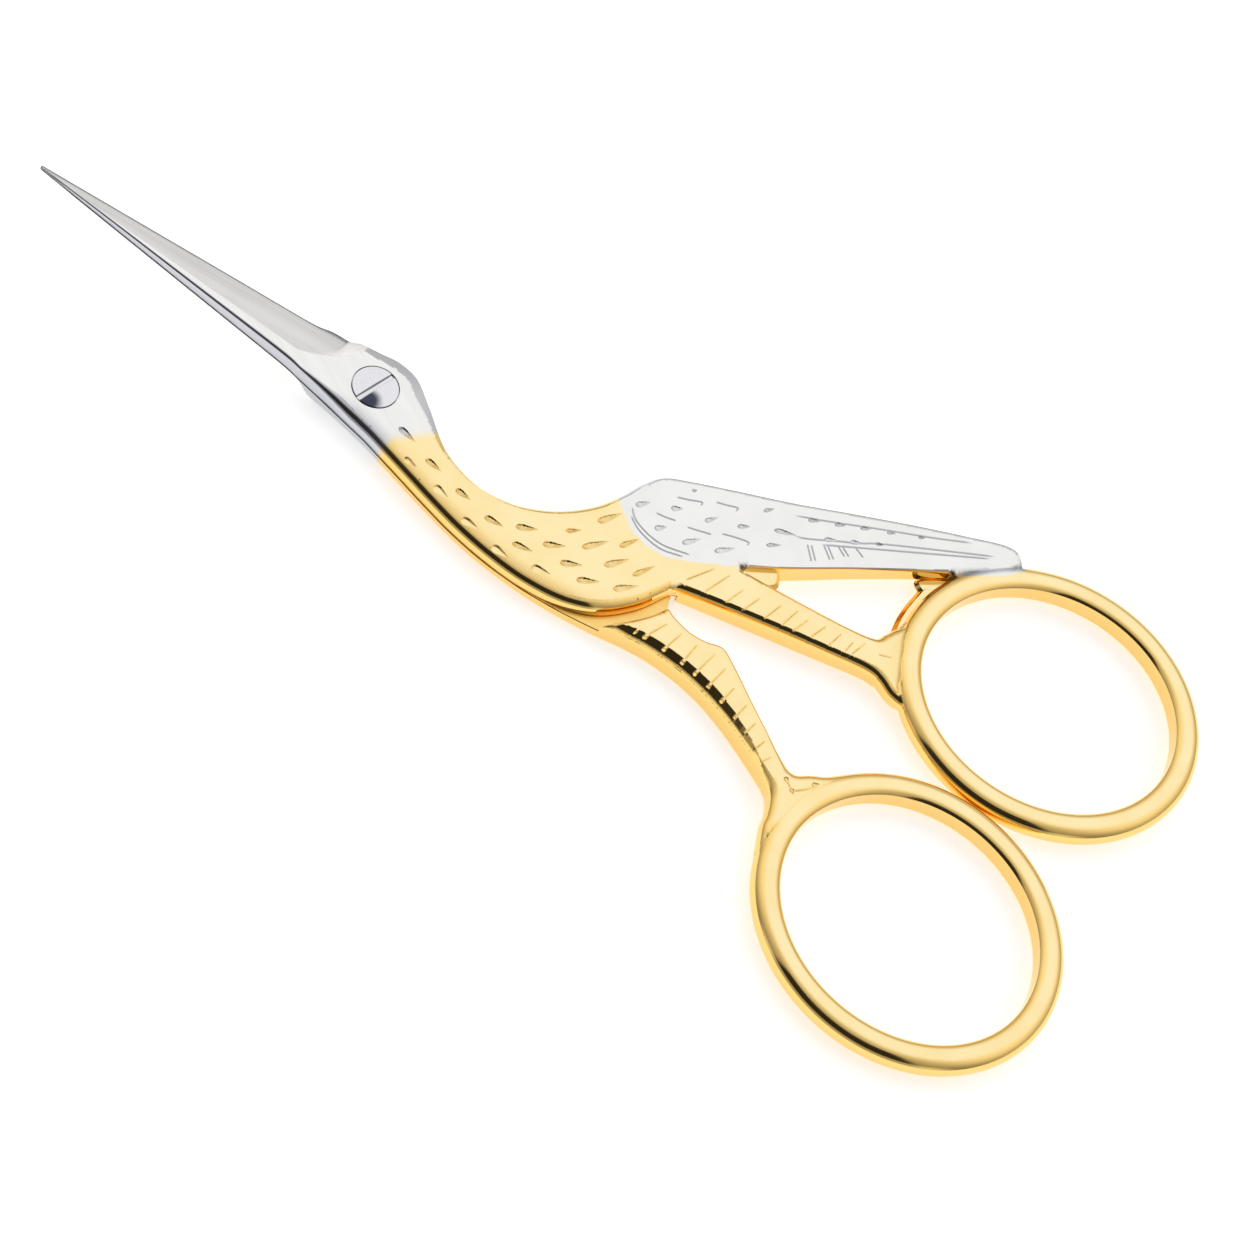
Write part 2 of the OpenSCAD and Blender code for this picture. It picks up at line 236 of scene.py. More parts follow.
def grid(low, high, step):
    """x and y of even points over a box."""
    columns = (np.arange(a, b + step, step) for a, b in zip(low, high))
    return np.meshgrid(*columns, indexing="ij")


# the sides by which an edge enters and leaves a square of the grid, for each set of corners that lie inside
crossings = {1: ["sw"], 2: ["es"], 3: ["ew"], 4: ["ne"], 5: ["sw", "ne"], 6: ["ns"], 7: ["nw"], 8: ["wn"],
             9: ["sn"], 10: ["es", "wn"], 11: ["en"], 12: ["we"], 13: ["se"], 14: ["ws"]}


def outline(zone, low, high, cell):
    """The loops of a zone's edge inside a box, found on a grid and then moved exactly onto the edge."""
    coarse = 1.0
    cx, cy = grid(low, high, coarse)
    rough = zone.depth(np.column_stack([cx.ravel(), cy.ravel()]))[0].reshape(cx.shape)
    gx, gy = grid(low, high, cell)
    ci, cj = (np.clip(np.round((g - start) / coarse).astype(int), 0, most - 1)
              for g, start, most in zip((gx, gy), low, cx.shape))
    d = rough[ci, cj]
    close = np.abs(d) < 1.3 * coarse
    d[close] = zone.depth(np.column_stack([gx[close], gy[close]]))[0]
    inside = d > 0
    links = {}
    spots = {}

    def spot(i, j, k):
        """Crossing on the grid edge from (i, j), along x when k is 0 and along y when k is 1."""
        key = (i, j, k)
        if key not in spots:
            a, b = d[i, j], d[i + (k == 0), j + (k == 1)]
            step = a / (a - b) * cell
            spots[key] = (gx[i, j] + (step if k == 0 else 0), gy[i, j] + (step if k == 1 else 0))
        return key

    code = inside[:-1, :-1] + 2 * inside[1:, :-1] + 4 * inside[1:, 1:] + 8 * inside[:-1, 1:]
    for i, j in zip(*np.nonzero((code > 0) & (code < 15))):
        sides = {"s": (i, j, 0), "e": (i + 1, j, 1), "n": (i, j + 1, 0), "w": (i, j, 1)}
        for a, b in crossings[int(code[i, j])]:
            links[spot(*sides[a])] = spot(*sides[b])
    loops = []
    ends = set(links.values())
    starts = [k for k in links if k not in ends]
    while links:
        k = starts.pop() if starts else next(iter(links))
        run = [k]
        while k in links:
            k = links.pop(k)
            run.append(k)
        points = np.array([spots[key] for key in run])
        for _ in range(3):
            off, out = zone.depth(points)
            points = points + out * off[:, None]
        loops.append(points)
    return loops


def finger_ring(hand):
    """The ring of one half: hand is 1 for the front half and -1 for the rear half."""
    return Ring((50.52, 10.65 * hand), (10.5, 9.6), math.radians(10.8) * hand, 0.95)


def blade_middle(x):
    """y of the blade's middle line."""
    return 0.2 - 0.1 * (x - tip_x) / (heel_x - tip_x)


def blade_rows():
    rows = []
    for t in (0, 0.25, 0.5, 0.75, 1):
        x, half = tip_x + (heel_x - tip_x) * t, (0.16 + 3.89 * t) / 2
        y = blade_middle(x)
        drop = 1.05 * (1 - t ** 0.87) + 0.12 * t ** 0.87
        rows.append([x, y - half, x, y + half, drop, drop, 0.1 + 0.2 * t, 0, 0])
    return rows


bird_rows = blade_rows() + [
    [-4.8, -2.2, -4.9, 2.5, 0.08, 0.08, 0.25, 0, 0.3], [-3.2, -2.48, -3.2, 2.65, 0.03, 0.03, 0.45, 0.05, 0.5],
    [-1.6, -2.78, -1.5, 2.88, 0, 0, 0.7, 0.15, 0.7], [-0.2, -3.05, 0.2, 3.2, 0, 0, 0.85, 0.29, 0.75],
    [1.6, -3.4, 2, 2.85, 0, 0, 0.85, 0.29, 0.75], [3.3, -3.85, 3.9, 1.4, 0, 0, 0.85, 0.29, 0.75],
    [5.3, -4.38, 6.3, -0.55, 0, 0, 0.85, 0.29, 0.7], [7.7, -5.02, 8.4, -1.43, 0, 0, 0.85, 0.29, 0.65],
    [10.2, -5.6, 10.3, -1.6, 0, 0, 0.85, 0.29, 0.5], [13, -6, 12.4, -1.15, 0, 0, 0.85, 0.29, 0.35]]
front_body_rows = [
    [16, -6.1, 14.2, -0.2, 0, 0, 0.85, 0.29, 0.3], [19, -5.65, 15.7, 1.05, 0, 0, 0.85, 0.29, 0.3],
    [21.5, -4.5, 17, 2.65, 0, 0, 0.85, 0.2, 0.3], [23.4, -2.4, 18, 4.5, 0, 0, 0.85, 0.3, 0.35],
    [24.5, -0.2, 18.7, 6.3, 0.02, 0.02, 0.7, 0.4, 0.4]]
wing_rows = [
    [25.3, 1.6, 19.6, 7.75, 0.05, 0.05, 0.65, 0.5, 0.45], [26.3, 3.4, 21.6, 8.95, 0.08, 0.08, 0.5, 0.6, 0.45],
    [27.8, 5.1, 24.5, 10.45, 0.12, 0.12, 0.4, 0.7, 0.45], [30.5, 7.2, 28, 12.25, 0.15, 0.22, 0.4, 0.7, 0.45],
    [34, 10.15, 32, 14.5, 0.18, 0.44, 0.4, 0.7, 0.45], [37.5, 13, 36, 16.7, 0.22, 0.58, 0.4, 0.7, 0.45],
    [40.7, 15.45, 39.4, 18.45, 0.25, 0.62, 0.4, 0.6, 0.45],
    [42.9, 17.25, 41.6, 19.55, 0.28, 0.64, 0.4, 0.5, 0.45],
    [43.8, 18.35, 42.9, 19.8, 0.32, 0.66, 0.4, 0.4, 0.45], [44, 18.8, 43.7, 19.3, 0.5, 0.75, 0.2, 0.4, 0.45]]
front_leg_rows = [
    [21.8, -0.6, 21.8, 3.2, 0.3, 0.3, 0.8, 0.4, 0.4], [24.4, 0.3, 24.2, 4.3, 0.08, 0.08, 0.85, 0.45, 0.4],
    [28, 1.3, 27.8, 4.95, 0, 0, 0.85, 0.5, 0.4], [32, 2.3, 31.8, 5.45, 0, 0, 0.85, 0.5, 0.4],
    [36, 3.25, 35.7, 6.05, 0.08, 0.08, 0.85, 0.5, 0.4], [38.6, 3.85, 37.9, 6.6, 0.12, 0.12, 0.8, 0.4, 0.3],
    [39.8, 3.85, 38.4, 7.4, 0.18, 0.18, 0.8, 0.2, 0.2], [41, 3.35, 38.8, 8.3, 0.25, 0.25, 0.8, 0, 0],
    [42.2, 3.2, 39.5, 9.6, 0.4, 0.4, 0.7, 0, 0]]
rear_body_rows = [
    [16, -6.1, 14.2, -0.2, 0, 0, 0.75, 0.29, 0.3], [18.6, -5.92, 15.7, 1.05, 0, 0, 0.62, 0.35, 0.3],
    [20.5, -5.65, 17.2, 2.6, 0, 0, 0.52, 0.42, 0.3], [22, -5.38, 19.2, 3.9, 0, 0, 0.47, 0.48, 0.35],
    [23.2, -5.12, 21.4, 4.1, 0, 0, 0.45, 0.5, 0.4], [24.2, -4.93, 23.3, 3, 0, 0, 0.45, 0.5, 0.4],
    [25, -4.8, 24.5, 1.1, 0, 0, 0.45, 0.5, 0.4], [25.6, -4.75, 25.1, -0.5, 0, 0, 0.45, 0.5, 0.4],
    [26.3, -4.71, 25.6, -1.4, 0, 0, 0.45, 0.5, 0.4]]

front_ring = finger_ring(1)
front_limb = Limb(bird_rows + front_body_rows + wing_rows, front_ring.line)
front_leg = Limb(front_leg_rows, front_ring.line)
front = Forging([front_limb, front_leg, front_ring], 0.4)
rear_tongue = Limb(bird_rows + rear_body_rows)


def blade_loop(limb, side, gap):
    """Upper or lower edge of the blade, ahead of where the grid takes over."""
    p = limb.edge.p[limb.edge.p[:, 0] < seam]
    p = p[(p[:, 1] > blade_middle(p[:, 0])) == (side > 0)]
    return evenly(p[np.argsort(-side * p[:, 0])], gap)


def loops_of(forging, limb, gap):
    """Edge loops of a half: exact blade points, and the rest found on the grid."""
    loops = []
    for points in outline(forging, (seam, -23), (63, 23), 0.15):
        run = evenly(points, gap)
        if np.linalg.norm(points[0] - points[-1]) < 0.2:
            loops.append(run[:-1])
        else:
            loops.append(np.concatenate([run, blade_loop(limb, 1, gap), blade_loop(limb, -1, gap)]))
    return loops


def ground_cut(q, wheel_back):
    """Height of the wheel-ground bevel of a blade over its lap face. It runs out in the wheel's round."""
    yaw, grind = math.atan2(heel_top - tip_top, heel_x - tip_x), math.radians(18)
    wheel_r, run_out, edge_left = 3.45, 0.6, 0.075
    x, y = q[:, 0] - heel_x, q[:, 1] - heel_top
    along, across = x * math.cos(yaw) + y * math.sin(yaw), y * math.cos(yaw) - x * math.sin(yaw)
    past = np.hypot(np.maximum(along + wheel_back, 0), across / math.cos(grind)) - wheel_r
    return edge_left - across * math.tan(grind) + run_out * np.maximum(past, 0)


def front_cut(q):
    return ground_cut(q, 0.7)


def crease_at(sizes, out):
    """Sine of the angle at which the rounded edge leaves the flat, at its lower or its upper side."""
    return sizes[:, 3] + (sizes[:, 4] - sizes[:, 3]) * np.clip(0.5 + 1.5 * out[:, 1], 0, 1)


def faced(forging, q, side, shapes=(), cut=None):
    """Height of one face over the lap plane, and its unit normal. Side 0 is the front, 1 the back."""
    d, out = forging.depth(q)
    sizes, slope = forging.form(q)
    h, r = sizes[:, side], sizes[:, 2]
    crease = crease_at(sizes, out)
    lean = sizes[:, 6] - np.clip(d, 0, None) / r
    lean = np.where(lean > crease, np.minimum(lean, 1), 0)
    rise = np.sqrt(1 - lean ** 2)
    z = h - np.where(lean > 0, r * (np.sqrt(1 - crease ** 2) - rise), 0)
    inner = np.clip(1 - d / crown_width, 0, 1)
    z = z - sizes[:, 5] * inner ** 2
    grad = slope[:, side] - out * (sizes[:, 5] * 2 / crown_width * inner)[:, None]
    for shape in shapes:
        here, tilt = slopes(shape, q, probe)
        z, grad = z + here, grad + tilt
    n = unit(np.column_stack([out * lean[:, None] - grad * rise[:, None], rise]))
    if cut is not None:
        z = np.where(q[:, 0] < 2, np.minimum(z, cut(q)), z)
    return z, n


def surface(rule, q, step):
    """Height of a surface at each point, and its unit normal."""
    z, tilt = slopes(rule, q, step)
    return z, unit(lifted(-tilt, 1.0))


def field_points(forging, loops, cell, angles, dense=()):
    """Points for one sheet: rows that follow the rounded edge, an even field inside, and dense patches."""
    edge = np.concatenate(loops)
    _, out = forging.depth(edge)
    sizes, _ = forging.form(edge)
    reach = sizes[:, 2] * (sizes[:, 6] - crease_at(sizes, out))
    rows = []
    insets = [sizes[:, 2] * (1 - math.cos(math.radians(a))) for a in angles] + [0.985 * reach, 1.03 * reach]
    for inset in insets:
        p = edge - out * inset[:, None]
        d, _ = forging.depth(p)
        rows.append(p[(d > 0.96 * inset) & (inset < 1.05 * reach)])
    low, high = edge.min(axis=0), edge.max(axis=0)
    columns = np.arange(low[0], high[0], cell), np.arange(low[1], high[1], cell * 0.866)
    gx, gy = np.meshgrid(*columns, indexing="ij")
    gx = gx + (np.arange(gx.shape[1]) % 2)[None, :] * cell / 2
    even = np.column_stack([gx.ravel(), gy.ravel()])
    for q, room in [(even, 0.42 + 0.3 * cell)] + [(p, 0.02) for p in dense]:
        d, _ = forging.depth(q)
        rows.append(q[d > room])
    return np.concatenate(rows)


def triangles(loops, inner, lines=()):
    """Flat triangles over all points, with the loops and lines kept as edges."""
    points, edges, base = [], [], 0
    for run, closed in [(p, True) for p in loops] + [(p, False) for p in lines]:
        n = len(run)
        points.append(run)
        edges += [(base + i, base + (i + 1) % n) for i in range(n if closed else n - 1)]
        base += n
    points.append(inner)
    made = delaunay_2d_cdt([Vector(p) for p in np.concatenate(points)], edges, [], 0, 1e-5)
    v, f = np.array([p[:] for p in made[0]]), np.array(made[2])
    a, b, c = v[f[:, 0]], v[f[:, 1]], v[f[:, 2]]
    turn = (b[:, 0] - a[:, 0]) * (c[:, 1] - a[:, 1]) - (b[:, 1] - a[:, 1]) * (c[:, 0] - a[:, 0])
    f = f[np.abs(turn) > 1e-8]
    turn = turn[np.abs(turn) > 1e-8]
    f[turn < 0] = f[turn < 0][:, ::-1]
    return v, f


def smooth(x, low, high):
    """0 below low, 1 above high, and an even curve between them."""
    t = np.clip((x - low) / (high - low), 0, 1)
    return t * t * (3 - 2 * t)


class Nicks:
    """Teardrop cuts struck with a chisel: blunt at one end, run out at the other, steep on the left side."""

    def __init__(self, rows, width, deep):
        self.cuts = []
        for r in rows:
            a, b, size = np.array(r[:2]), np.array(r[2:4]), r[4] if len(r) > 4 else 1
            self.cuts.append((a - (b - a) * 0.07, b + (b - a) * 0.1, width * size / 2, deep))

    def rise(self, q):
        blunt = 0.3
        z = np.zeros(len(q))
        for a, b, half, deep in self.cuts:
            size = np.linalg.norm(b - a)
            way = (b - a) / size
            near = np.nonzero(np.abs(q - (a + b) / 2).max(axis=1) < size / 2 + half)[0]
            rel = q[near] - a
            s, t = rel @ way / size, rel @ np.array([-way[1], way[0]])
            round_end = np.sqrt(np.clip(1 - ((blunt - s) / blunt) ** 2, 0, 1))
            wide = np.where(s < blunt, round_end, np.clip((1 - s) / (1 - blunt), 0, 1) ** 0.8)
            u = t / np.maximum(half * wide, 1e-4)
            hollow = np.clip(np.minimum((1 - u) / 0.4, (1 + u) / 1.5), 0, 1) * np.minimum(wide * 1.6, 1)
            z[near] = np.minimum(z[near], -deep * hollow * (1 - 0.45 * np.clip(s, 0, 1)))
        return z

    def spots(self):
        """Points close together over each cut."""
        out = []
        for a, b, half, _ in self.cuts:
            size = np.linalg.norm(b - a)
            way = (b - a) / size
            columns = np.arange(-0.08, size + 0.1, 0.06), np.arange(-half - 0.06, half + 0.07, 0.04)
            s, t = np.meshgrid(*columns, indexing="ij")
            s = s + 0.03 * (np.arange(s.shape[1]) % 2)[None, :]
            out.append(a + s.reshape(-1, 1) * way + t.reshape(-1, 1) * np.array([-way[1], way[0]]))
        return np.concatenate(out)


class Grooves:
    """Lines cut with a graver: a V of even width that runs out at both ends."""

    def __init__(self, lines, width, deep, fade=0.0):
        self.half, self.deep, self.fade = width / 2, deep, fade
        self.lines = []
        for points in lines:
            fine = evenly(flowing(points, 8), 0.06)
            self.lines.append(Line(np.column_stack([fine, np.linspace(0, 1, len(fine))]), False))

    def rise(self, q):
        z = np.zeros(len(q))
        for line in self.lines:
            low, high = line.p.min(axis=0) - self.half, line.p.max(axis=0) + self.half
            near = np.nonzero(((q > low) & (q < high)).all(axis=1))[0]
            if not len(near):
                continue
            t, _, _, facts = line.near(q[near])
            s = facts[:, 0]
            ends = np.clip(np.minimum(s, 1 - s) / 0.06 + 0.15, 0, 1) * (1 - self.fade * s)
            z[near] = np.minimum(z[near], -self.deep * ends * np.clip(1 - np.abs(t) / self.half, 0, 1))
        return z

    def spots(self):
        offs = self.half * np.array([-1.5, -1, -0.55, 0, 0.55, 1, 1.5])
        return np.concatenate([line.p + line.out * k for line in self.lines for k in offs])


class Ribs:
    """Cuts across a leg, [outer x, y, inner x, y] each. The metal between two of them is a low roll, and a
    tooth of it stands in the leg's bevel, if it has one, at each cut."""

    def __init__(self, cuts, roll, bevel=None):
        self.cuts, self.roll, self.bevel = np.array(cuts, float), roll, bevel

    def rise(self, q):
        a, b = self.cuts[:, :2], self.cuts[:, 2:]
        size = np.linalg.norm(b - a, axis=1)
        way = (b - a) / size[:, None]
        rel = q[None] - a[:, None]
        past = rel[..., 0] * way[:, None, 1] - rel[..., 1] * way[:, None, 0]
        along = (rel[..., 0] * way[:, None, 0] + rel[..., 1] * way[:, None, 1]) / size[:, None]
        z = np.zeros(len(q))
        for k in range(len(a) - 1):
            on = np.nonzero((past[k] >= 0) & (past[k + 1] < 0) & (along[k] > -2) & (along[k] < 1.6))[0]
            if not len(on):
                continue
            f = past[k][on] / (past[k][on] - past[k + 1][on])
            s = along[k][on]
            hump = 1 - np.abs(2 * f - 1) ** 4
            z[on] = -self.roll * (1 - hump) * (1 - smooth(s, 0.5, 1.15))
            if self.bevel is not None:
                low = on[s < 0.6]
                t, _, _, _ = self.bevel.edge.near(q[low])
                cut_off = np.minimum(past[k][low], -past[k + 1][low])
                tooth = (1 - smooth(cut_off, 0.03, 0.16)) * smooth(np.abs(t), 0.32, 0.44)
                z[low] -= self.bevel.rise(q[low]) * tooth
        return z

    def spots(self):
        a, b = self.cuts[:, :2], self.cuts[:, 2:]
        out = []
        for k in range(len(a)):
            size = np.linalg.norm(b[k] - a[k])
            way = (b[k] - a[k]) / size
            side = np.array([way[1], -way[0]])
            for off in (-0.2, -0.12, -0.06, -0.02, 0.02, 0.06, 0.12, 0.2):
                out.append(a[k] + way * np.arange(-0.5, size + 0.3, 0.07)[:, None] + side * off)
        if self.bevel is not None:
            edge = self.bevel.edge
            on = (edge.p[:, 0] > a[0, 0] - 2) & (edge.p[:, 0] < a[-1, 0] + 1.5)
            out += [edge.p[on] - edge.out[on] * t for t in np.arange(0.1, 0.9, 0.07)]
        return np.concatenate(out)


class Margin:
    """A margin along one edge that falls away towards it: a flat bevel, or a soft shoulder that gets steeper
    towards the edge. Its rows are [x, width, slope, distance from the edge at which it ends]."""

    def __init__(self, edge, rows, soft):
        self.edge, self.rows, self.soft = Line(evenly(edge, 0.1), False), np.array(rows, float), soft

    def rise(self, q):
        z = np.zeros(len(q))
        on = np.nonzero((q[:, 0] > self.rows[0, 0]) & (q[:, 0] < self.rows[-1, 0]))[0]
        if not len(on):
            return z
        t, _, _, _ = self.edge.near(q[on])
        width, slope, stop = (np.interp(q[on, 0], self.rows[:, 0], self.rows[:, k]) for k in (1, 2, 3))
        run = np.clip(width - np.abs(t), 0, width - stop)
        z[on] = -slope * (run ** 2 / (2 * (width - stop)) if self.soft else run)
        return z


body_nicks = Nicks([
    (3.1, -1.65, 4.4, -1.87), (5.9, -2.55, 7.05, -2.67), (4.65, -3.35, 5.65, -3.5, 0.7),
    (8.8, -3.2, 9.85, -3.25),
    (7.45, -3.9, 8.55, -4.1), (11.5, -3.7, 12.75, -3.57), (10.3, -4.8, 11.45, -4.78),
    (13.1, -5.25, 14.2, -5.3),
    (13.6, -2.9, 14.8, -2.2), (14.1, -4.2, 15.4, -3.9), (15.8, -2.85, 17, -2.05), (16.1, -4.85, 17.3, -4.6),
    (17.5, -3.3, 18.7, -2.55), (19.1, -3.7, 20.3, -2.9), (16.5, -0.9, 17.2, -0.2, 0.7),
    (18.1, -1.2, 19.2, 0.3),
    (20.05, -1.4, 21.05, 0), (22, -0.75, 22.75, 0.8, 0.8), (21.5, -2.6, 22.6, -1.4), (17.9, 1.3, 18.75, 2.8),
    (20.1, 0.6, 20.8, 1.9, 0.8)], 0.58, 0.13)
wing_nicks = Nicks([
    (19.3, 4.2, 19.9, 5), (21.3, 3.45, 21.85, 4.1), (23.45, 3.8, 24.2, 4.85), (25.6, 4.8, 26.5, 5.85),
    (21.4, 5.65, 22, 6.15), (23.8, 6.4, 24.3, 7.2, 0.8), (21.8, 7.9, 22.05, 8.15, 0.6),
    (25.85, 7.6, 26.5, 8.15, 0.8),
    (26.7, 10, 27.15, 10.6, 0.7), (28.25, 7.7, 29, 8.35, 0.7), (28.1, 9.15, 29.4, 9.75, 0.9),
    (29.6, 11.5, 30.3, 12, 0.8), (31.3, 12.5, 31.9, 12.9, 0.8), (32.9, 13.5, 33.5, 13.9, 0.8),
    (34.6, 14.5, 35.1, 14.8, 0.7), (36.6, 15.7, 37, 15.95, 0.6), (31.3, 10.9, 32, 11.4, 0.8),
    (32.9, 12, 33.5, 12.4, 0.8), (34.4, 13.1, 34.9, 13.4, 0.6)], 0.5, 0.085)
wing_lines = Grooves([
    [(20.7, 4.6), (21.4, 4.75), (22.1, 5)], [(23, 5.1), (23.8, 5.4), (24.65, 5.75)],
    [(21.2, 6.7), (22, 7.1), (22.8, 7.55), (22.9, 7.25)], [(25.2, 6.3), (26.1, 6.7), (27.05, 7), (27.1, 6.7)],
    [(23.6, 8.25), (24.4, 8.6), (25.05, 8.9), (25.1, 8.6)],
    [(28.5, 11.1), (30.8, 12.4), (34.1, 14.4), (37.5, 16.4), (40, 18)],
    [(29.2, 9.7), (30.1, 10), (32.15, 11.45), (33.4, 12.3), (35.2, 13.7), (41.9, 18.15)],
    [(31.2, 10.3), (33.6, 12), (35.5, 13.35), (41.7, 17.75)],
    [(30.5, 9.7), (31.4, 8.7)], [(31.4, 10.5), (32.4, 9.7)], [(32.25, 11.1), (33.1, 10.65)],
    [(33.4, 11.8), (34.2, 11.5)],
    [(30.75, 9.85), (31.6, 8.95)], [(31.65, 10.65), (32.6, 9.9)], [(32.5, 11.3), (33.35, 10.85)],
    [(19.1, 3.9), (20, 3.05), (22, 2.65), (24.3, 3.3)],
    [(19.4, 3.2), (20.5, 2.55), (22.2, 2.3), (24, 2.85)]], 0.14, 0.036)
leg_cuts = [
    (25.1, 1.45, 26.2, 3.45), (26.6, 1.45, 27.35, 3.75), (28.2, 1.7, 28.7, 3.4), (29.45, 1.9, 29.95, 3.55),
    (31, 2.4, 31.45, 4.1), (32.25, 2.8, 32.6, 4.5), (33.1, 2.9, 33.55, 4.4), (34.35, 3.35, 34.8, 4.8),
    (35.7, 3.65, 35.95, 4.95), (36.85, 4.05, 36.95, 5), (37.35, 4.15, 37.7, 5.55)]
leg_lines = Grooves([[c[:2], c[2:]] for c in leg_cuts] + [[(38.9, 5.4), (39.75, 5.85)]], 0.15, 0.035, 0.3)
leg_steps = Ribs(leg_cuts, 0.015)
front_relief = [body_nicks, wing_nicks, wing_lines, leg_lines, leg_steps]
upper_bevel = Margin(flowing(bird_rows + front_body_rows + wing_rows)[:, 2:4], [
    (-7, 0.3, 0.34, 0), (-4.6, 0.55, 0.32, 0), (-2.5, 0.75, 0.31, 0), (0, 1, 0.31, 0), (2.5, 1, 0.31, 0),
    (4, 0.7, 0.33, 0), (6, 0.55, 0.36, 0), (8.5, 0.45, 0.34, 0), (11, 0.36, 0.33, 0), (14, 0.32, 0.33, 0),
    (18, 0.36, 0.38, 0), (22, 0.45, 0.45, 0), (41.5, 0.4, 0.4, 0), (43.8, 0.2, 0.3, 0)], False)
soft_belly = Margin(flowing(bird_rows + front_body_rows)[:, :2], [
    (-3.5, 1, 0, 0.5), (0, 1.8, 0.28, 0.6), (8, 1.9, 0.306, 0.6), (19, 1.9, 0.306, 0.6),
    (22, 1.4, 0.15, 0.6), (23.4, 1, 0, 0.6)], True)


def quads(a, b, c, d):
    """Two triangles for each row of four corners."""
    return np.concatenate([np.column_stack([a, b, c]), np.column_stack([a, c, d])])


class Skin:
    """Sheets of one mesh, each with its own corners, so that sharp edges stay sharp and round ones round."""

    def __init__(self):
        self.v, self.n, self.f, self.count = [], [], [], 0

    def sheet(self, v, n, f):
        used = np.unique(f)
        renumbered = np.full(len(v), -1)
        renumbered[used] = np.arange(len(used)) + self.count
        self.v.append(v[used])
        self.n.append(n[used])
        self.f.append(renumbered[f])
        self.count += len(used)

    def band(self, first, second, normals, steps=None):
        """Strip between two rows of points: all round, or along the given steps only."""
        n = len(first)
        i = np.arange(n) if steps is None else steps
        j = (i + 1) % n
        f = quads(i, i + n, j + n, j)
        self.sheet(np.concatenate([first, second]), np.concatenate([normals, normals]), f)

    def wall(self, path, top, bottom, facing, steps=None):
        """Upright strip along a path, between two heights."""
        self.band(lifted(path, top), lifted(path, bottom), lifted(facing, 0.0), steps)

    def made(self, name):
        """The mesh as an object, with each triangle turned to the side that its normals face."""
        v, n, f = np.concatenate(self.v), np.concatenate(self.n), np.concatenate(self.f)
        a, b, c = v[f[:, 0]], v[f[:, 1]], v[f[:, 2]]
        inward = np.sum(np.cross(b - a, c - a) * n[f].sum(axis=1), axis=1) < 0
        f[inward] = f[inward][:, ::-1]
        mesh = bpy.data.meshes.new(name)
        mesh.from_pydata((v / 1000).tolist(), [], f.tolist())
        mesh.shade_smooth()
        mesh.normals_split_custom_set_from_vertices(n.tolist())
        piece = bpy.data.objects.new(name, mesh)
        bpy.context.scene.collection.objects.link(piece)
        return piece, v, n


def paint(piece, name, values):
    """One value for each point of the mesh, for the material to read."""
    layer = piece.data.attributes.new(name, "FLOAT", "POINT")
    layer.data.foreach_set("value", np.asarray(values, np.float32))


class Field:
    """A zone of the plan: a depth that is positive inside it."""

    def __init__(self, rule):
        self.depth = rule


def ground_zone(forging, side, shapes, cut):
    """The zone in which the wheel has cut below the forged face, as a depth in the plan."""
    behind_heel = 1.5

    def over(p):
        z, _ = faced(forging, p, side, shapes)
        return z - cut(p) - 20 * np.clip(p[:, 0] - behind_heel, 0, None)

    def rule(q):
        here, grad = slopes(over, q, 0.01)
        size = np.maximum(np.linalg.norm(grad, axis=1), 0.05)
        return here / size, -grad / size[:, None]

    return Field(rule)


def lap_zone(other_plan, clear):
    """The zone that is cut back to the lap, for the other half to lie in with some room."""
    all_of_it_before = 14

    def rule(q):
        best, out = other_plan[0].depth(q)
        for part in other_plan[1:]:
            e, e_out = part.depth(q)
            nearer = e > best
            best, out = np.where(nearer, e, best), np.where(nearer[:, None], e_out, out)
        best = best + clear
        ahead = all_of_it_before - q[:, 0]
        return np.maximum(best, ahead), np.where((ahead > best)[:, None], np.array([[1.0, 0.0]]), out)

    return Field(rule)


def with_crossings(loops, field):
    """The loops with a point added wherever they cross into or out of the zone."""
    out = []
    for run in loops:
        d, _ = field.depth(run)
        made = []
        for i in range(len(run)):
            j = (i + 1) % len(run)
            made.append(run[i])
            if (d[i] > 0) != (d[j] > 0):
                made.append(run[i] + (run[j] - run[i]) * d[i] / (d[i] - d[j]))
        out.append(np.array(made))
    return out


def circle(radius, count):
    t = np.linspace(0, 2 * math.pi, count, endpoint=False)
    return np.column_stack([np.cos(t), np.sin(t)]) * radius


def metal(forging, v, f, hole_r):
    """The triangles that lie inside the outline and outside a hole about the screw's axis."""
    centre = v[f].mean(axis=1)
    return f[(forging.depth(centre)[0] > 0) & (np.hypot(centre[:, 0], centre[:, 1]) > hole_r * 0.999)]


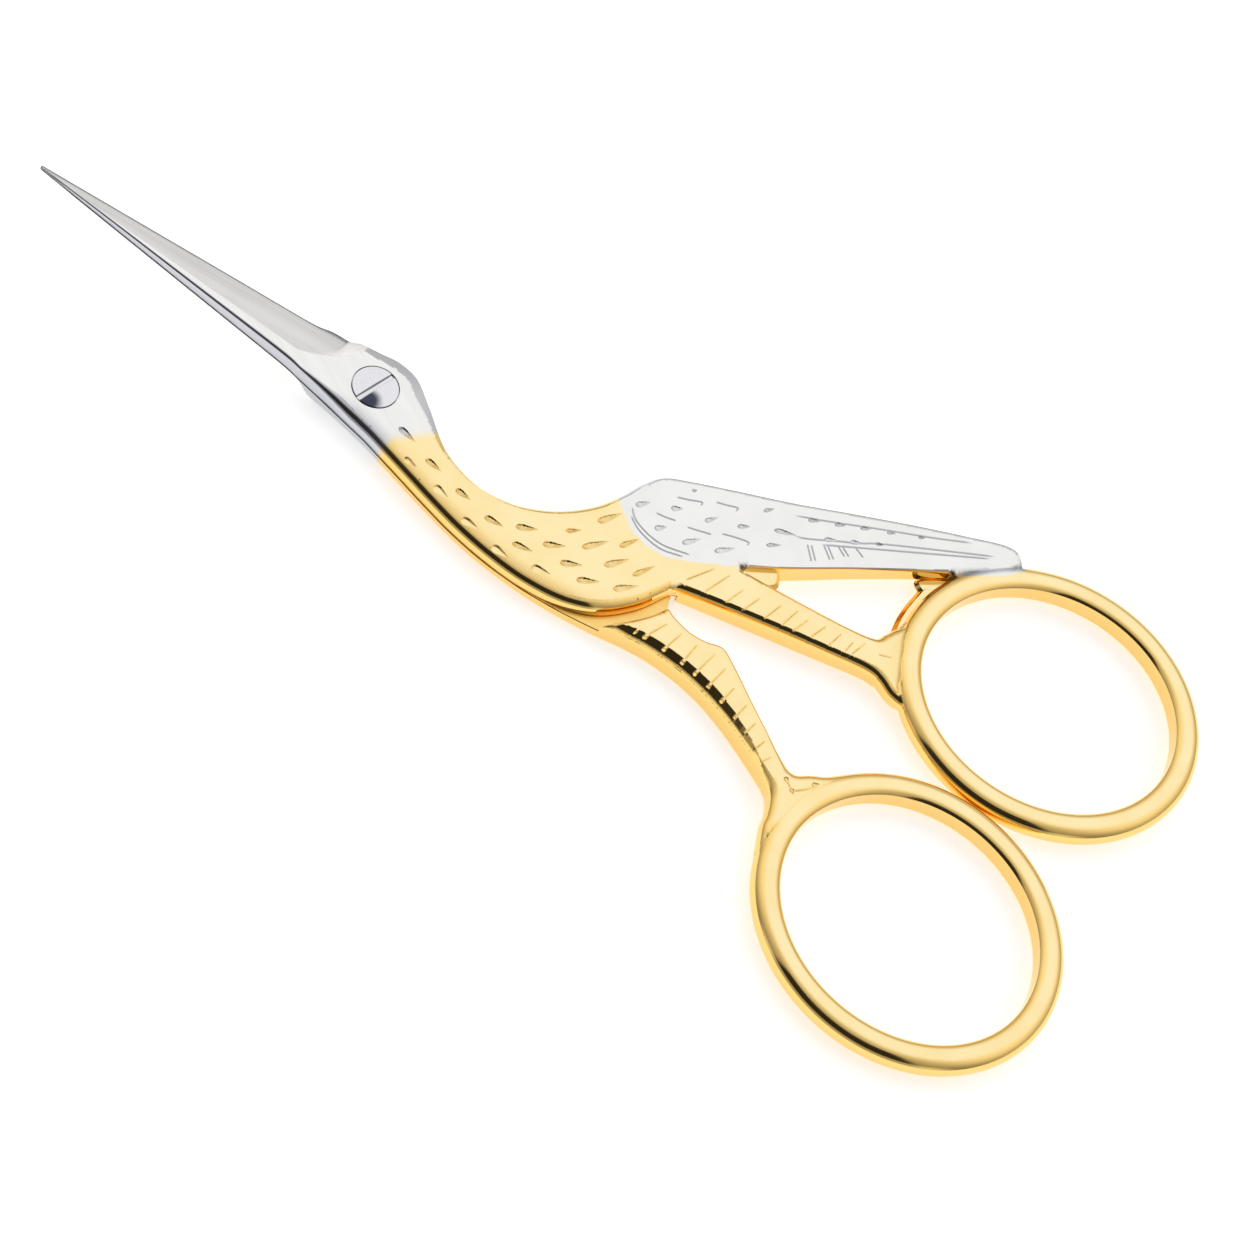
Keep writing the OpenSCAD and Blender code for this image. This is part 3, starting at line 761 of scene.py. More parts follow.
def half_lapped(name, forging, limb, other_plan, clear, up, bore, seat, relief, cut, dense, webs=()):
    """One half: its whole outer face, the lap face that the other half lies on, and its full back behind the
    shoulder that stands clear of the other half. up is 1 for the front half, whose outer face looks up, and
    it is -1 for the rear half."""
    outer, inner = (0, 1) if up > 0 else (1, 0)
    lap = lap_zone(other_plan, clear)
    lap_z = mid + up * lap_gap / 2
    ease, ease_deep = 0.35, 0.3
    joint_edge, joint_broken = 0.12, 0.09
    around = 72

    def eased(q):
        """The shoulder's upper edge, rounded over."""
        t = np.clip((ease + lap.depth(q)[0]) / ease, 0, 1)
        return -ease_deep * (1 - np.sqrt(1 - 0.98 * t ** 2))

    outer_shapes, inner_shapes = (relief, []) if up > 0 else ([], relief + [eased])
    ground = ground_zone(forging, outer, outer_shapes, cut)
    loops = with_crossings(with_crossings(loops_of(forging, limb, 0.12), lap), ground)
    skin = Skin()

    # outer face, with a true edge where the bevel begins
    outer_hole = circle(seat or bore, around)
    crests = [evenly(run, 0.1) for run in outline(ground, (-27.8, -3), (2, 3.4), 0.1)]
    crests = [run[forging.depth(run)[0] > 0.004] for run in crests]
    inside = field_points(forging, loops, 0.15, (8, 16, 24, 32, 40, 48, 56, 64, 72, 80, 88), dense)
    v, f = triangles(loops + [outer_hole], inside, [run for run in crests if len(run) > 8])
    f = metal(forging, v, f, seat or bore)
    centre = v[f].mean(axis=1)
    ahead = np.nonzero(centre[:, 0] < 2)[0]
    bevelled = np.zeros(len(f), bool)
    bevelled[ahead] = ground.depth(centre[ahead])[0] > 0
    forged_face, ground_face = faced(forging, v, outer, outer_shapes), surface(cut, v, probe)
    for (z, n), which in ((forged_face, ~bevelled), (ground_face, bevelled)):
        skin.sheet(lifted(v, mid + up * z), n * [1, 1, up], f[which])

    # bore, and the seat for the screw's head
    rim_z = mid + up * faced(forging, outer_hole, outer, outer_shapes)[0]
    bore_hole = circle(bore, around)
    if seat:
        skin.wall(outer_hole, rim_z, seat_floor, -outer_hole / seat)
        upward = np.tile([0.0, 0.0, 1.0], (around, 1))
        skin.band(lifted(outer_hole, seat_floor), lifted(bore_hole, seat_floor), upward)
    skin.wall(bore_hole, seat_floor if seat else rim_z, lap_z, -bore_hole / bore)

    # lap face, full back, and the shoulder between the two
    shoulders = []
    for run in outline(lap, (12, -9), (30, 11), 0.15):
        run = run[forging.depth(run)[0] > -0.3]
        if len(run) > 4:
            shoulders.append(evenly(run, 0.12))
    inside = field_points(forging, loops, 0.3, (10, 22, 34, 46, 58, 70, 84), dense if up < 0 else ())
    v, f = triangles(loops + [bore_hole], inside, shoulders)
    f = metal(forging, v, f, bore)
    lapped = lap.depth(v[f].mean(axis=1))[0] > 0
    skin.sheet(lifted(v, lap_z), np.tile([0.0, 0.0, -up], (len(v), 1)), f[lapped])
    z, n = faced(forging, v, inner, inner_shapes)
    skin.sheet(lifted(v, mid - up * z), n * [1, 1, -up], f[~lapped])
    for run in shoulders:
        run = run[forging.depth(run)[0] > -0.001]
        z, _ = faced(forging, run, inner, inner_shapes)
        skin.wall(run, lap_z, mid - up * z, -lap.depth(run)[1], np.arange(len(run) - 1))

    # walls all round, with a broken edge where they meet the lap face
    for run in loops:
        run = np.concatenate([run, run[:1]])
        _, out = forging.depth(run)
        top = mid + up * faced(forging, run, outer, outer_shapes, cut)[0]
        back = mid - up * faced(forging, run, inner, inner_shapes)[0]
        lapped = lap.depth((run[:-1] + run[1:]) / 2)[0] > 0
        over_lap, behind = np.nonzero(lapped)[0], np.nonzero(~lapped)[0]
        skin.wall(run, top, back, out, behind)
        edge_z = lap_z + up * joint_edge
        skin.wall(run, top, edge_z, out, over_lap)
        broken = run - out * joint_broken * smooth(run[:, :1], -3, 0)
        skin.band(lifted(run, edge_z), lifted(broken, lap_z), lifted(out, -up) / math.sqrt(2), over_lap)
    for low, high, corners in webs:
        web(skin, corners, mid + low, mid + high)
    return skin.made(name)


def web(skin, corners, low, high, ease=0.3):
    """A thin web of the forging between two limbs, with an eased upper and lower edge."""
    line = Line(evenly(flowing(np.array(corners + corners[:3], float), 6)[6:-6], 0.1)[:-1], True)
    levels = [(low, ease), (low + ease, 0), (high - ease, 0), (high, ease)]
    for (z_from, inset_from), (z_to, inset_to), tilt in zip(levels, levels[1:], (-1, 0, 1)):
        upper, lower = line.p - line.out * inset_to, line.p - line.out * inset_from
        skin.band(lifted(upper, z_to), lifted(lower, z_from), lifted(line.out, tilt) / math.hypot(1, tilt))
    for z, way in ((low, -1), (high, 1)):
        v, f = triangles([line.p - line.out * ease], np.array([line.p.mean(axis=0)]))
        skin.sheet(lifted(v, z), np.tile([0.0, 0.0, way], (len(v), 1)), f)


# between wing and leg at their root, along the ring's side, and between ring and wing
front_webs = [(-0.7, 0.54, [(26, 3.6), (28.6, 4.2), (30.3, 5.3), (30.4, 6.2), (29.4, 7.2), (27, 6)]),
              (-0.75, -0.15, [(38.9, 13.4), (38.6, 12), (38.5, 10.6), (38.6, 9.2), (38.95, 7.9), (39.8, 8),
                              (39.9, 11), (40.2, 13.3)]),
              (-0.7, -0.2, [(38.1, 13.4), (39, 12.6), (40.4, 12.6), (41, 15.2), (39.7, 14.9)])]


def hub_spots(ring):
    """Points where a ring's round form runs through the hub of its leg."""
    p = evenly(np.concatenate([ring.line.p, ring.line.p[:1]]), 0.1)[:-1]
    _, out, _, _ = ring.line.near(p)
    return np.concatenate([p + out * t for t in (0.02, 0.12, 0.2, 0.27, 0.325, 0.38, 0.45, 0.53, 0.64)])


front_piece, front_v, front_n = half_lapped(
    "front_half_forging", front, front_limb, [rear_tongue], 0.45, 1, 1.15, 1.73,
    [r.rise for r in front_relief + [upper_bevel, soft_belly]], front_cut,
    [np.concatenate([r.spots() for r in front_relief]), hub_spots(front_ring)], front_webs)

# where the gold plating ends on the neck, and the outline of the silver plating on the wing
gilt_line = [(9, 3), (5, -0.6), (4.2, -1.5), (3.15, -2.7), (3.05, -3.4), (2.9, -7)]
gilt_from = Line(evenly(np.array(gilt_line, float), 0.1), False)
silver_line = [
    (17, 5.6), (17.6, 4.4), (18.3, 3.55), (19, 3), (20, 2.2), (21.5, 1.8), (23, 2), (24.5, 2.8), (26, 3.8),
    (27.3, 4.5), (30.6, 7), (34.1, 9.95), (37.6, 12.8), (40.8, 15.25), (43.1, 17.1), (44.2, 18.6), (44, 20.5),
    (30, 16), (17, 9), (17, 5.6)]
silver_zone = Line(evenly(np.array(silver_line, float), 0.1)[:-1], True)


def plated(piece, v, n, forging, wing, cut, up):
    """Where each finish lies: gilt, silvered and wheel ground, and rim: 0 on the flats and 1 on the walls.
    The material paints shade and reflection colour on the rim, and wear along it.
    """
    lowest_silver, wing_edge, neck_end = mid + 0.56, 0.62, 3
    q = v[:, :2]
    head, _, _, _ = gilt_from.near(q)
    # rim follows the surface's slope, for the darker edge colour that the material paints as shade and
    # reflection
    rim = smooth(np.sqrt(np.clip(1 - n[:, 2] ** 2, 0, 1)), 0.05, 0.45)
    silvered = np.zeros(len(v))
    if wing:
        d, _, _, _ = silver_zone.near(q)
        # the walls below the wing stay gilt, and so does what lies lower than its face
        under = smooth(-n[:, 1], 0.5, 0.75)
        steep = np.nonzero((under > 0) & (d < 0.2))[0]
        under[steep] *= forging.depth(q[steep])[0] < wing_edge
        silvered = smooth(-d, -0.06, 0.1) * (1 - under) * (n[:, 2] > -0.1) * (v[:, 2] > lowest_silver)
    bevelled = (np.abs(mid + up * cut(q) - v[:, 2]) < 1e-6) & (v[:, 0] < 2) & (np.abs(n[:, 2]) > 0.5)
    rim = np.where(bevelled, 0, rim)
    lapped = (np.abs(v[:, 2] - mid - up * lap_gap / 2) < 1e-6) & (np.abs(n[:, 2]) > 0.99)
    paint(piece, "gilt", smooth(-head, -0.5, 0.45) * (1 - silvered))
    paint(piece, "silvered", silvered)
    paint(piece, "ground", bevelled | lapped)
    # the lap face behind the neck takes the full darker edge colour, painted shade on that flat face
    paint(piece, "rim", np.where(lapped & (v[:, 0] > neck_end), 1, rim))


plated(front_piece, front_v, front_n, front, True, front_cut, 1)
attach(front_piece, "front")
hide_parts("front_half")


class Board:
    """The nodes of one material or node group, with short calls to add and join them."""

    def __init__(self, tree):
        self.nodes, self.links = tree.nodes, tree.links

    def add(self, kind, settings=(), **sockets):
        node = self.nodes.new("ShaderNode" + kind)
        for key, value in dict(settings).items():
            setattr(node, key, value)
        for key, value in sockets.items():
            self.feed(node.inputs[key.replace("_", " ")], value)
        return node

    def feed(self, socket, value):
        if hasattr(value, "is_linked"):
            self.links.new(value, socket)
        else:
            socket.default_value = value

    def calc(self, op, a, b=0.0, c=0.0):
        node = self.nodes.new("ShaderNodeMath")
        node.operation = op
        for k, x in enumerate((a, b, c)):
            self.feed(node.inputs[k], x)
        return node.outputs[0]

    def plus(self, a, b):
        return self.calc("ADD", a, b)

    def times(self, a, b):
        return self.calc("MULTIPLY", a, b)

    def between(self, value, low, high, a=0.0, b=1.0):
        """A value carried from one range to another, with even ends."""
        node = self.nodes.new("ShaderNodeMapRange")
        node.interpolation_type = "SMOOTHSTEP"
        for key, x in (("Value", value), ("From Min", low), ("From Max", high), ("To Min", a), ("To Max", b)):
            self.feed(node.inputs[key], x)
        return node.outputs[0]

    def mixed(self, share, a, b):
        node = self.nodes.new("ShaderNodeMix")
        node.data_type = "RGBA"
        for k, x in ((0, share), (6, a), (7, b)):
            self.feed(node.inputs[k], x)
        return node.outputs[2]

    def painted(self, name):
        """What paint() has left on the mesh."""
        return self.add("Attribute", {"attribute_name": name}).outputs["Fac"]

    def place(self):
        return self.add("TexCoord").outputs["Object"]

    def noise(self, vector, scale, detail, rough=0.5, out=0):
        return self.add("TexNoise", Vector=vector, Scale=scale, Detail=detail, Roughness=rough).outputs[out]


def effect(name, inputs, outputs):
    """An empty node group, its board, and its two ends."""
    group = bpy.data.node_groups.new(name, "ShaderNodeTree")
    for key, value in inputs.items():
        group.interface.new_socket(key, in_out="INPUT", socket_type="NodeSocketFloat").default_value = value
    for key in outputs:
        group.interface.new_socket(key, in_out="OUTPUT", socket_type="NodeSocketFloat")
    board = Board(group)
    return group, board, board.nodes.new("NodeGroupInput").outputs, board.nodes.new("NodeGroupOutput").inputs


# fine straight lines left by a wheel or a polishing brush
given_lines = {"Turn": 0, "Lines per metre": 9000, "Run": 0.02}
brushed, t, given, done = effect("brushed lines", given_lines, ["Height", "Tone"])
turn = t.add("CombineXYZ", Z=given["Turn"]).outputs[0]
spun = t.add("Mapping", Vector=t.place(), Rotation=turn).outputs[0]
x, y, z = t.add("SeparateXYZ", Vector=spun).outputs
stretched = t.add("CombineXYZ", X=t.times(x, given["Run"]), Y=y, Z=t.times(z, 0.3)).outputs[0]
fine = t.noise(stretched, given["Lines per metre"], 3.0, 0.6)
broad = t.noise(stretched, t.times(given["Lines per metre"], 0.16), 2.0)
t.feed(done["Height"], t.plus(t.times(fine, 0.6), t.times(broad, 0.4)))
t.feed(done["Tone"], t.between(t.plus(t.times(fine, 0.5), t.times(broad, 0.5)), 0.35, 0.65))

# soft cloudiness and tiny stray scratches from handling
given_marks = {"Cloud size": 0.004, "Scratches": 0.5}
handled, t, given, done = effect("handling marks", given_marks, ["Cloud", "Height"])
place = t.place()
cloud = t.noise(place, t.calc("DIVIDE", 1.0, given["Cloud size"]), 3.0, 0.55)
bend = t.noise(place, 900.0, 1.0, out="Color")
moved = t.add("VectorMath", {"operation": "MULTIPLY_ADD"})
for socket, value in zip(moved.inputs, (bend, (0.0012, 0.0012, 0.0012), place)):
    t.feed(socket, value)
cell = t.add("TexVoronoi", {"feature": "DISTANCE_TO_EDGE"}, Vector=moved.outputs[0], Scale=650.0)
scratch = t.between(cell.outputs["Distance"], 0.0, 0.016, 1.0, 0.0)
broken = t.between(t.noise(place, 1300.0, 1.0), 0.52, 0.6)
t.feed(done["Cloud"], t.between(cloud, 0.3, 0.7))
t.feed(done["Height"], t.times(t.times(scratch, broken), t.times(given["Scratches"], -1.0)))

# plating rubbed thin along edges
rubbed, t, given, done = effect("rubbed edges", {"Rim": 0, "Amount": 0.5}, ["Worn"])
patch = t.noise(t.place(), 1700.0, 4.0, 0.65)
along_edge = t.times(t.between(given["Rim"], 0.05, 0.3), t.between(given["Rim"], 0.75, 0.35))
t.feed(done["Worn"], t.times(t.times(along_edge, t.between(patch, 0.5, 0.72)), given["Amount"]))


def metal_finish(name):
    """A metal material, its board and its shader."""
    m = bpy.data.materials.new(name)
    m.use_nodes = True
    board = Board(m.node_tree)
    shader = board.nodes["Principled BSDF"]
    shader.inputs["Metallic"].default_value = 1
    return m, board, shader


def placed(board, group, **values):
    """A node group in a material, with its sockets fed, and what it gives."""
    node = board.nodes.new("ShaderNodeGroup")
    node.node_tree = group
    for key, value in values.items():
        board.feed(node.inputs[key.replace("_", " ")], value)
    return node.outputs


part_plated, t, shader = metal_finish("part-plated steel")
gilt, silvered, ground, rim = (t.painted(key) for key in ("gilt", "silvered", "ground", "rim"))
marks = placed(t, handled, Cloud_size=0.0035, Scratches=0.15)
polish = placed(t, brushed, Turn=0.5, Lines_per_metre=7000.0, Run=0.03)
wheel = placed(t, brushed, Turn=-0.1, Lines_per_metre=8000.0, Run=0.015)
worn = placed(t, rubbed, Rim=rim, Amount=0.5)["Worn"]
gold_flat = t.mixed(marks["Cloud"], (1.0, 0.835, 0.465, 1), (0.99, 0.79, 0.40, 1))
# painted shade and reflection: a deeper gold wherever the surface slopes towards the rim
gold = t.mixed(rim, gold_flat, (1.0, 0.68, 0.225, 1))
gold = t.mixed(worn, gold, (0.98, 0.84, 0.56, 1))
steel = t.mixed(polish["Tone"], (0.84, 0.835, 0.815, 1), (0.89, 0.885, 0.87, 1))
# painted shade and reflection: darker, bluer steel on the rounded edges and walls
steel = t.mixed(rim, steel, (0.62, 0.625, 0.66, 1))
ground_steel = t.mixed(wheel["Tone"], (0.86, 0.845, 0.825, 1), (0.97, 0.96, 0.945, 1))
silver = t.mixed(marks["Cloud"], (0.85, 0.845, 0.83, 1), (0.90, 0.895, 0.88, 1))
# painted shade and reflection: darker silver on the rounded edges and walls
silver = t.mixed(rim, silver, (0.58, 0.585, 0.61, 1))
colour = t.mixed(ground, steel, ground_steel)
colour = t.mixed(gilt, colour, gold)
colour = t.mixed(silvered, colour, silver)
t.feed(shader.inputs["Base Color"], colour)
rough = t.plus(0.13, t.times(marks["Cloud"], 0.06))
rough = t.plus(rough, t.times(ground, t.between(wheel["Tone"], 0.0, 1.0, 0.16, 0.24)))
rough = t.plus(rough, t.times(silvered, 0.06))
rough = t.calc("SUBTRACT", rough, t.times(gilt, 0.05))
t.feed(shader.inputs["Roughness"], rough)
steely = t.times(t.calc("SUBTRACT", 1.0, gilt), t.calc("SUBTRACT", 1.0, silvered))
lines = t.times(polish["Height"], t.plus(0.08, t.times(steely, 0.06)))
lines = t.plus(lines, t.times(wheel["Height"], ground))
lines = t.plus(lines, marks["Height"])
t.feed(shader.inputs["Normal"], t.add("Bump", Strength=1.0, Distance=0.000004, Height=lines).outputs[0])
front_piece.data.materials.append(part_plated)

# REAR HALF
# The second forging, lap-jointed behind the first: blade, hidden neck and body, ribbed leg and ring, of the
# same part-plated steel. The hole in it takes the threaded end of the screw.

rear_leg_rows = [
    [27.4, -4.72, 27.3, -1.85, 0, 0, 0.45, 0.5, 0.4], [28.6, -4.8, 28.6, -1.75, 0, 0, 0.45, 0.5, 0.4],
    [29.7, -4.98, 29.9, -1.4, 0, 0, 0.45, 0.5, 0.4], [31, -5.28, 31.4, -2.2, 0, 0, 0.45, 0.5, 0.4],
    [33, -5.98, 33.4, -3.55, 0, 0, 0.45, 0.5, 0.4], [35, -6.9, 35.4, -4.85, 0.02, 0.02, 0.45, 0.5, 0.4],
    [36.8, -7.9, 37.2, -5.95, 0.05, 0.05, 0.6, 0.45, 0.3], [37.9, -8.8, 38.5, -6.4, 0.1, 0.1, 0.8, 0.3, 0.2],
    [38.5, -10.1, 39.6, -5.6, 0.18, 0.18, 0.8, 0.1, 0.1], [38.75, -11.3, 40.7, -4.85, 0.25, 0.25, 0.8, 0, 0],
    [39.5, -12.9, 42, -3.9, 0.4, 0.4, 0.7, 0, 0]]
rear_ring = finger_ring(-1)
rear_limb = Limb(bird_rows + rear_body_rows + rear_leg_rows, rear_ring.line)
rear = Forging([rear_limb, rear_ring], 0.4)
rear_cuts = [
    (24.2, -4.75, 24.9, -2.6), (24.95, -4.7, 25.8, -2.5), (26.55, -4.7, 27, -2.5), (28.15, -4.6, 28.3, -2.5),
    (29.25, -4.9, 29.65, -2.3), (30.5, -5.1, 30.8, -2.8), (31.8, -5.6, 32.05, -3.75), (33.2, -6, 33.4, -4.3),
    (34.35, -6.45, 34.6, -5.1), (35.5, -7, 35.8, -5.9)]
rear_bevel = Margin(flowing(rear_body_rows[2:] + rear_leg_rows)[:, :2], [
    (21.2, 0.1, 0.8, 0.1), (22.6, 0.4, 0.84, 0.1), (24, 0.66, 0.84, 0.1), (31, 0.72, 0.84, 0.1),
    (34, 0.56, 0.84, 0.1), (35.6, 0.4, 0.84, 0.1), (36.8, 0.1, 0.8, 0.1)], False)
rear_ribs = Ribs(rear_cuts, 0.012, rear_bevel)
# the graver starts a little way in from the edge
rear_strokes = [[(a * 0.72 + c * 0.28, b * 0.72 + d * 0.28), (c, d)] for a, b, c, d in rear_cuts[1:]]
rear_lines = Grooves(rear_strokes + [
    [(36.4, -7.3), (36.8, -6.6)], [(38.3, -7.3), (38.75, -7.6), (39.2, -7.9)],
    [(39.3, -7.75), (40, -7), (40.5, -6.2)]], 0.15, 0.045, 0.5)
rear_dots = Nicks([
    (38.3, -7.3, 38.7, -7.6), (39.05, -7.75, 39.35, -8.0), (40.1, -6.5, 40.5, -6.15)], 0.4, 0.12)
rear_relief = [rear_ribs, rear_lines, rear_dots]


def rear_cut(q):
    return ground_cut(q * [1, -1], 1.8)


rear_piece, rear_v, rear_n = half_lapped(
    "rear_half_forging", rear, rear_limb, [front_limb, front_leg], 1.1, -1, 0.91, None,
    [r.rise for r in rear_relief + [rear_bevel]], rear_cut,
    [np.concatenate([r.spots() for r in rear_relief]), hub_spots(rear_ring)])
plated(rear_piece, rear_v, rear_n, rear, False, rear_cut, -1)
rear_piece.data.materials.append(part_plated)
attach(rear_piece, "rear")
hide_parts("rear_half")

# PIVOT SCREW
# A turned steel screw with a low domed head and a sawn slot. Its shoulder rests on the rear half, its
# threaded end is screwed into it, and the head lies in the front half's seat.

head_r, shank_r, thread_r, thread_deep = 1.67, 1.1, 0.9, 0.06
head_rim, dome, rim_r = 2.45, 0.1, 0.07
shoulder = mid - lap_gap / 2
pitch, turns, end_bevel = 0.3, 3, 0.08
slot_half, slot_floor, slot_turn, slot_ease = 0.18, 2.3, math.radians(73), 0.03
screw_skin = Skin()


def turned(profile, normals):
    """A surface of revolution about the screw's axis, from (radius, height) points, each with its normal."""
    ring = circle(1, 96)
    rows = [lifted(ring * r, z) for r, z in profile]
    facing = [lifted(ring * a, b) for a, b in normals]
    i = np.arange(96)
    j = (i + 1) % 96
    f = [quads(i + k, j + k, j + k + 96, i + k + 96) for k in 96 * np.arange(len(profile) - 1)]
    screw_skin.sheet(np.concatenate(rows), np.concatenate(facing), np.concatenate(f))


outward, downward = (1, 0), (0, -1)
turned([(head_r, seat_floor), (head_r, head_rim - rim_r)], [outward] * 2)
turned([(shank_r, seat_floor), (head_r, seat_floor)], [downward] * 2)
turned([(shank_r, shoulder), (shank_r, seat_floor)], [outward] * 2)
turned([(thread_r, shoulder), (shank_r, shoulder)], [downward] * 2)
thread = [(thread_r, shoulder)]
for k in range(turns):
    top = shoulder - 0.12 - k * pitch
    thread += [(thread_r, top), (thread_r - thread_deep, top - pitch / 2), (thread_r, top - pitch)]
thread += [(thread_r, end_bevel), (thread_r - end_bevel, 0.0)]
turned(thread, [outward] * (len(thread) - 1) + [(0.7, -0.7)])
turned([(thread_r - end_bevel, 0.0), (0.3, 0.0), (0.001, 0.0)], [downward] * 3)


def from_slot(q):
    """Distance of each point from the slot's middle line."""
    return np.abs(-q[:, 0] * math.sin(slot_turn) + q[:, 1] * math.cos(slot_turn))


def head_height(q):
    """Height of the domed head, with its rounded rim and the slot's eased edges."""
    r = np.hypot(q[:, 0], q[:, 1])
    into_rim = np.clip((r - (head_r - rim_r)) / rim_r, 0, 0.995)
    z = head_rim + dome * (1 - (r / head_r) ** 2) - rim_r * (1 - np.sqrt(1 - into_rim ** 2))
    return z - 0.6 * np.clip(slot_half + slot_ease - from_slot(q), 0, slot_ease)


def slot_place(s, t):
    """Points s along the slot and t across it."""
    c, w = math.cos(slot_turn), math.sin(slot_turn)
    return np.column_stack([s * c - t * w, s * w + t * c])


rows = [circle(head_r - rim_r * (1 - math.cos(math.radians(a))), 120) for a in (6, 20, 35, 50, 65, 85)]
rows += [circle(r, max(int(r * 70), 6)) for r in np.arange(0.1, head_r - rim_r, 0.09)]
reach = math.sqrt(head_r ** 2 - slot_half ** 2)
run = np.linspace(-reach * 0.999, reach * 0.999, 70)
sides = {side: slot_place(run, side * slot_half) for side in (-1, 1)}
eased = [slot_place(run, side * (slot_half + 0.032)) for side in (-1, 1)]
inner = np.concatenate(rows + [p[np.hypot(p[:, 0], p[:, 1]) < head_r - 0.005] for p in eased])
v, f = triangles([circle(head_r, 120)], inner, [sides[-1], sides[1]])
z, n = surface(head_height, v, 0.002)
screw_skin.sheet(lifted(v, z), n, f[from_slot(v[f].mean(axis=1)) > slot_half - 1e-4])
along_slot = np.arange(69)
for side, path in sides.items():
    facing = np.tile(-side * slot_place(0.0, 1.0), (70, 1))
    screw_skin.wall(path, head_height(path), slot_floor, facing, along_slot)
floor_sides = [lifted(sides[side], slot_floor) for side in (-1, 1)]
screw_skin.band(*floor_sides, np.tile([0.0, 0.0, 1.0], (70, 1)), along_slot)
screw_piece, _, _ = screw_skin.made("slotted_screw")
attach(screw_piece, "rear")
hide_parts("pivot_screw")

turned_steel, t, shader = metal_finish("turned screw steel")
place = t.place()
x, y, _ = t.add("SeparateXYZ", Vector=place).outputs
flat_place = t.add("CombineXYZ", X=x, Y=y).outputs[0]


def measured(op, *vectors):
    """Length of a vector, or distance between two."""
    node = t.add("VectorMath", {"operation": op})
    for socket, vector in zip(node.inputs, vectors):
        t.feed(socket, vector)
    return node.outputs["Value"]


radius = measured("LENGTH", flat_place)
cut_rings = t.add("TexNoise", {"noise_dimensions": "1D"}, W=radius, Scale=16000.0, Detail=4.0, Roughness=0.7)
rings = cut_rings.outputs[0]
marks = placed(t, handled, Cloud_size=0.0012, Scratches=0.6)
steel = t.mixed(t.between(rings, 0.35, 0.65), (0.74, 0.735, 0.77, 1), (0.86, 0.855, 0.89, 1))
# painted dark blue reflection on the head, in one sector beside the slot
away = measured("DISTANCE", flat_place, (0.00022, -0.00128, 0))
away = t.plus(away, t.times(t.noise(place, 900.0, 3.0), 0.0004))
past_slot = t.calc("SUBTRACT", t.times(x, math.sin(slot_turn)), t.times(y, math.cos(slot_turn)))
painted_dark_reflection = t.times(t.between(away, 0.00065, 0.0014, 1.0, 0.0), t.between(past_slot, 0.00019, 0.00026))
steel = t.mixed(painted_dark_reflection, steel, (0.055, 0.06, 0.09, 1))
# painted shade on the slot's walls and in the corners beside them
aside = t.calc("ABSOLUTE", past_slot)
slot_shade = t.times(t.between(aside, 0.00013, 0.00016), t.between(aside, 0.000205, 0.000185))
steel = t.mixed(slot_shade, steel, (0.3, 0.295, 0.3, 1))
t.feed(shader.inputs["Base Color"], steel)
t.feed(shader.inputs["Roughness"], t.plus(0.16, t.times(marks["Cloud"], 0.08)))
shader.inputs["Anisotropic"].default_value = 0.6
height = t.plus(rings, marks["Height"])
t.feed(shader.inputs["Normal"], t.add("Bump", Strength=1.0, Distance=0.000003, Height=height).outputs[0])
screw_piece.data.materials.append(turned_steel)

# TABLE, LIGHT AND CAMERA
# A white table just below the scissors, in a round studio of white light with one unlit side, and the camera
# as it was fitted to the photo.

table_half, table_drop = 2.0, 0.00005
corners = [(-1, -1), (1, -1), (1, 1), (-1, 1)]
table_mesh = bpy.data.meshes.new("table")
table_mesh.from_pydata([(x * table_half, y * table_half, 0) for x, y in corners], [], [(0, 1, 2, 3)])
table = bpy.data.objects.new("table", table_mesh)
bpy.context.scene.collection.objects.link(table)
table.location.z = -table_drop
paper = bpy.data.materials.new("white table")
paper.use_nodes = True
t = Board(paper.node_tree)
shader = t.nodes["Principled BSDF"]
shader.inputs["Base Color"].default_value = (0.9, 0.9, 0.9, 1)
shader.inputs["Roughness"].default_value = 0.9
shader.inputs["Specular IOR Level"].default_value = 0
ray = t.add("LightPath").outputs
seen = t.calc("MAXIMUM", ray["Is Camera Ray"], ray["Is Glossy Ray"])
glow = t.add("Emission", Strength=t.times(seen, 0.55))
both = t.add("AddShader")
t.feed(both.inputs[0], shader.outputs[0])
t.feed(both.inputs[1], glow.outputs[0])
t.feed(t.nodes["Material Output"].inputs["Surface"], both.outputs[0])
table_mesh.materials.append(paper)

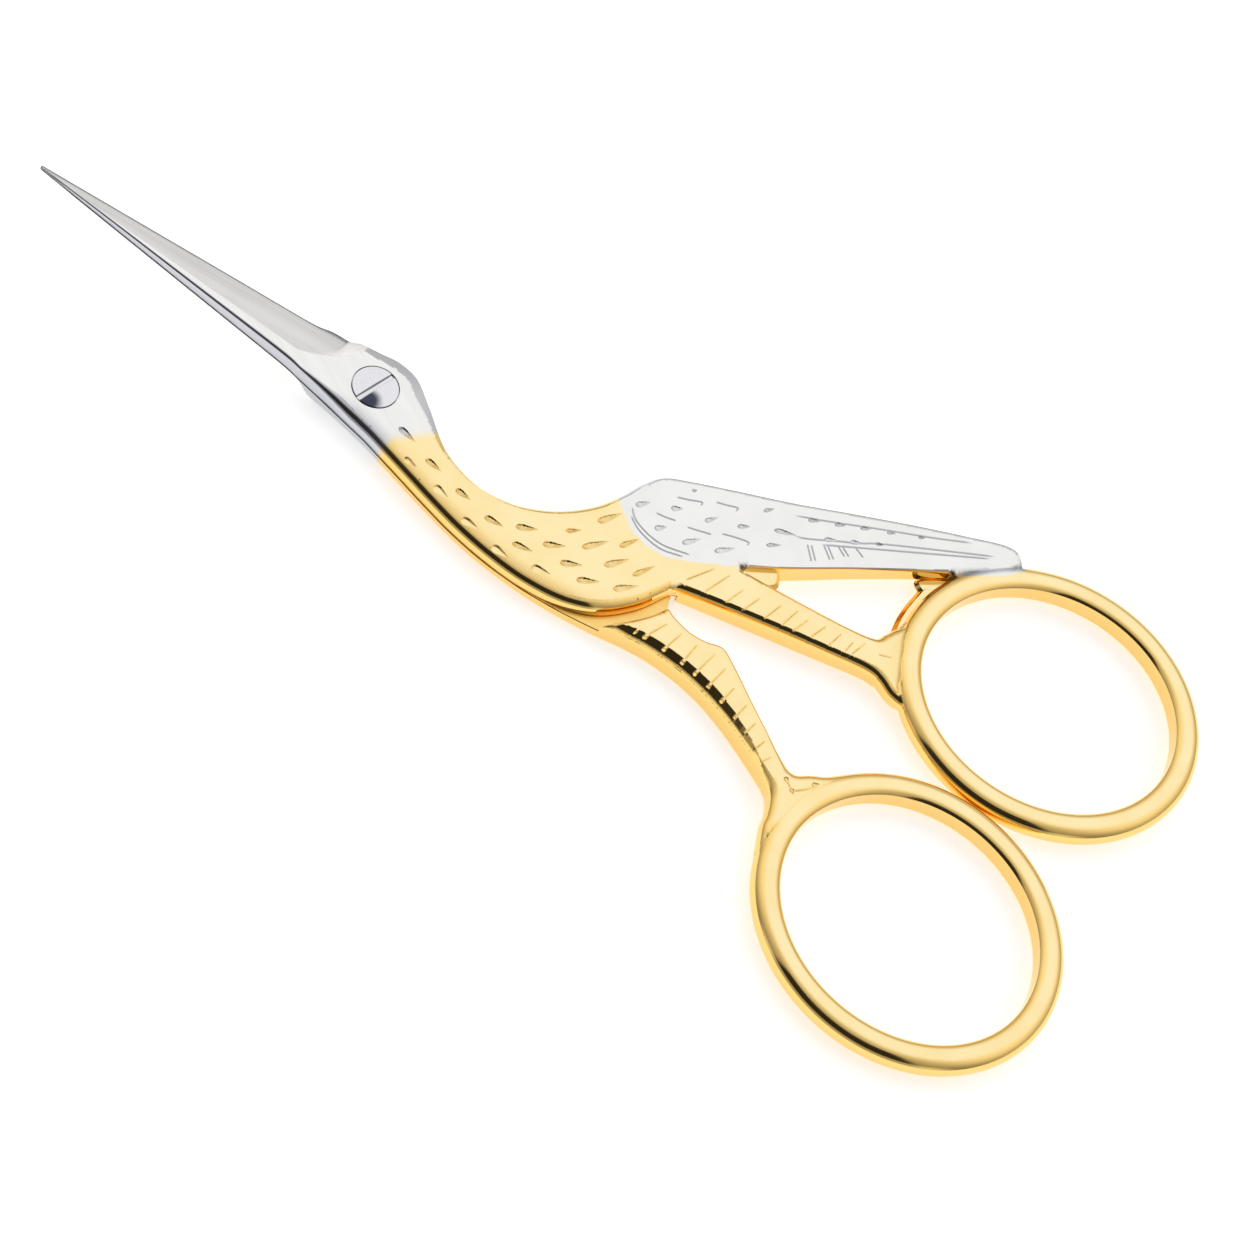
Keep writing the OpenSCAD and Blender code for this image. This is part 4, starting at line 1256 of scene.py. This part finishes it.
world = bpy.data.worlds.new("studio")
bpy.context.scene.world = world
world.use_nodes = True
t = Board(world.node_tree)
t.nodes.clear()
x, y, height = t.add("SeparateXYZ", Vector=t.add("TexCoord").outputs["Generated"]).outputs
bright = t.between(height, 0.1, 0.75, 0.52, 1.0)
# the unlit side of the room lies behind and below the camera
facing = t.plus(t.times(x, -0.035), t.times(y, -0.999))
level_part = t.calc("SQRT", t.calc("MAXIMUM", t.calc("SUBTRACT", 1.0, t.times(height, height)), 0.0001))
toward = t.calc("DIVIDE", facing, level_part)
dark = t.times(t.between(toward, 0.64, 0.76), t.between(height, 0.84, 0.9, 1.0, 0.0))
dim = t.between(y, -0.6, 0.25, 0.75, 1.0)
near_dark = t.between(facing, -0.3, 0.5, 1.0, 0.6)
light = t.times(t.times(bright, dim), t.calc("SUBTRACT", 1.0, t.times(dark, 0.94)))
light = t.times(light, near_dark)
# a low white card stands in front of the table
card = t.times(t.between(height, 0.26, 0.4, 1.0, 0.0), t.between(facing, 0.35, 0.6))
shaded = t.calc("SUBTRACT", 0.72, t.times(dark, 0.3))
light = t.plus(t.times(light, t.calc("SUBTRACT", 1.0, card)), t.times(shaded, card))
sky = t.add("Background", Color=(1, 1, 1, 1), Strength=light)
white = t.add("Background", Color=(1, 1, 1, 1), Strength=1)
mix = t.add("MixShader")
to_camera = t.add("LightPath").outputs["Is Camera Ray"]
for socket, value in zip(mix.inputs, (to_camera, sky.outputs[0], white.outputs[0])):
    t.feed(socket, value)
t.add("OutputWorld", Surface=mix.outputs[0])

lens = bpy.data.cameras.new("camera")
lens.sensor_width = 36
lens.lens = 120.77
camera = bpy.data.objects.new("camera", lens)
right, up, back = (0.82432, 0.49275, 0.27871), (-0.5642, 0.67455, 0.4761), (0.04659, -0.54971, 0.83406)
stand = (0.03625, -0.15978, 0.23805)
camera.matrix_world = Matrix([*zip(right, up, back, stand), (0, 0, 0, 1)])
bpy.context.scene.collection.objects.link(camera)
bpy.context.scene.camera = camera
bpy.context.scene.view_settings.view_transform = "Standard"
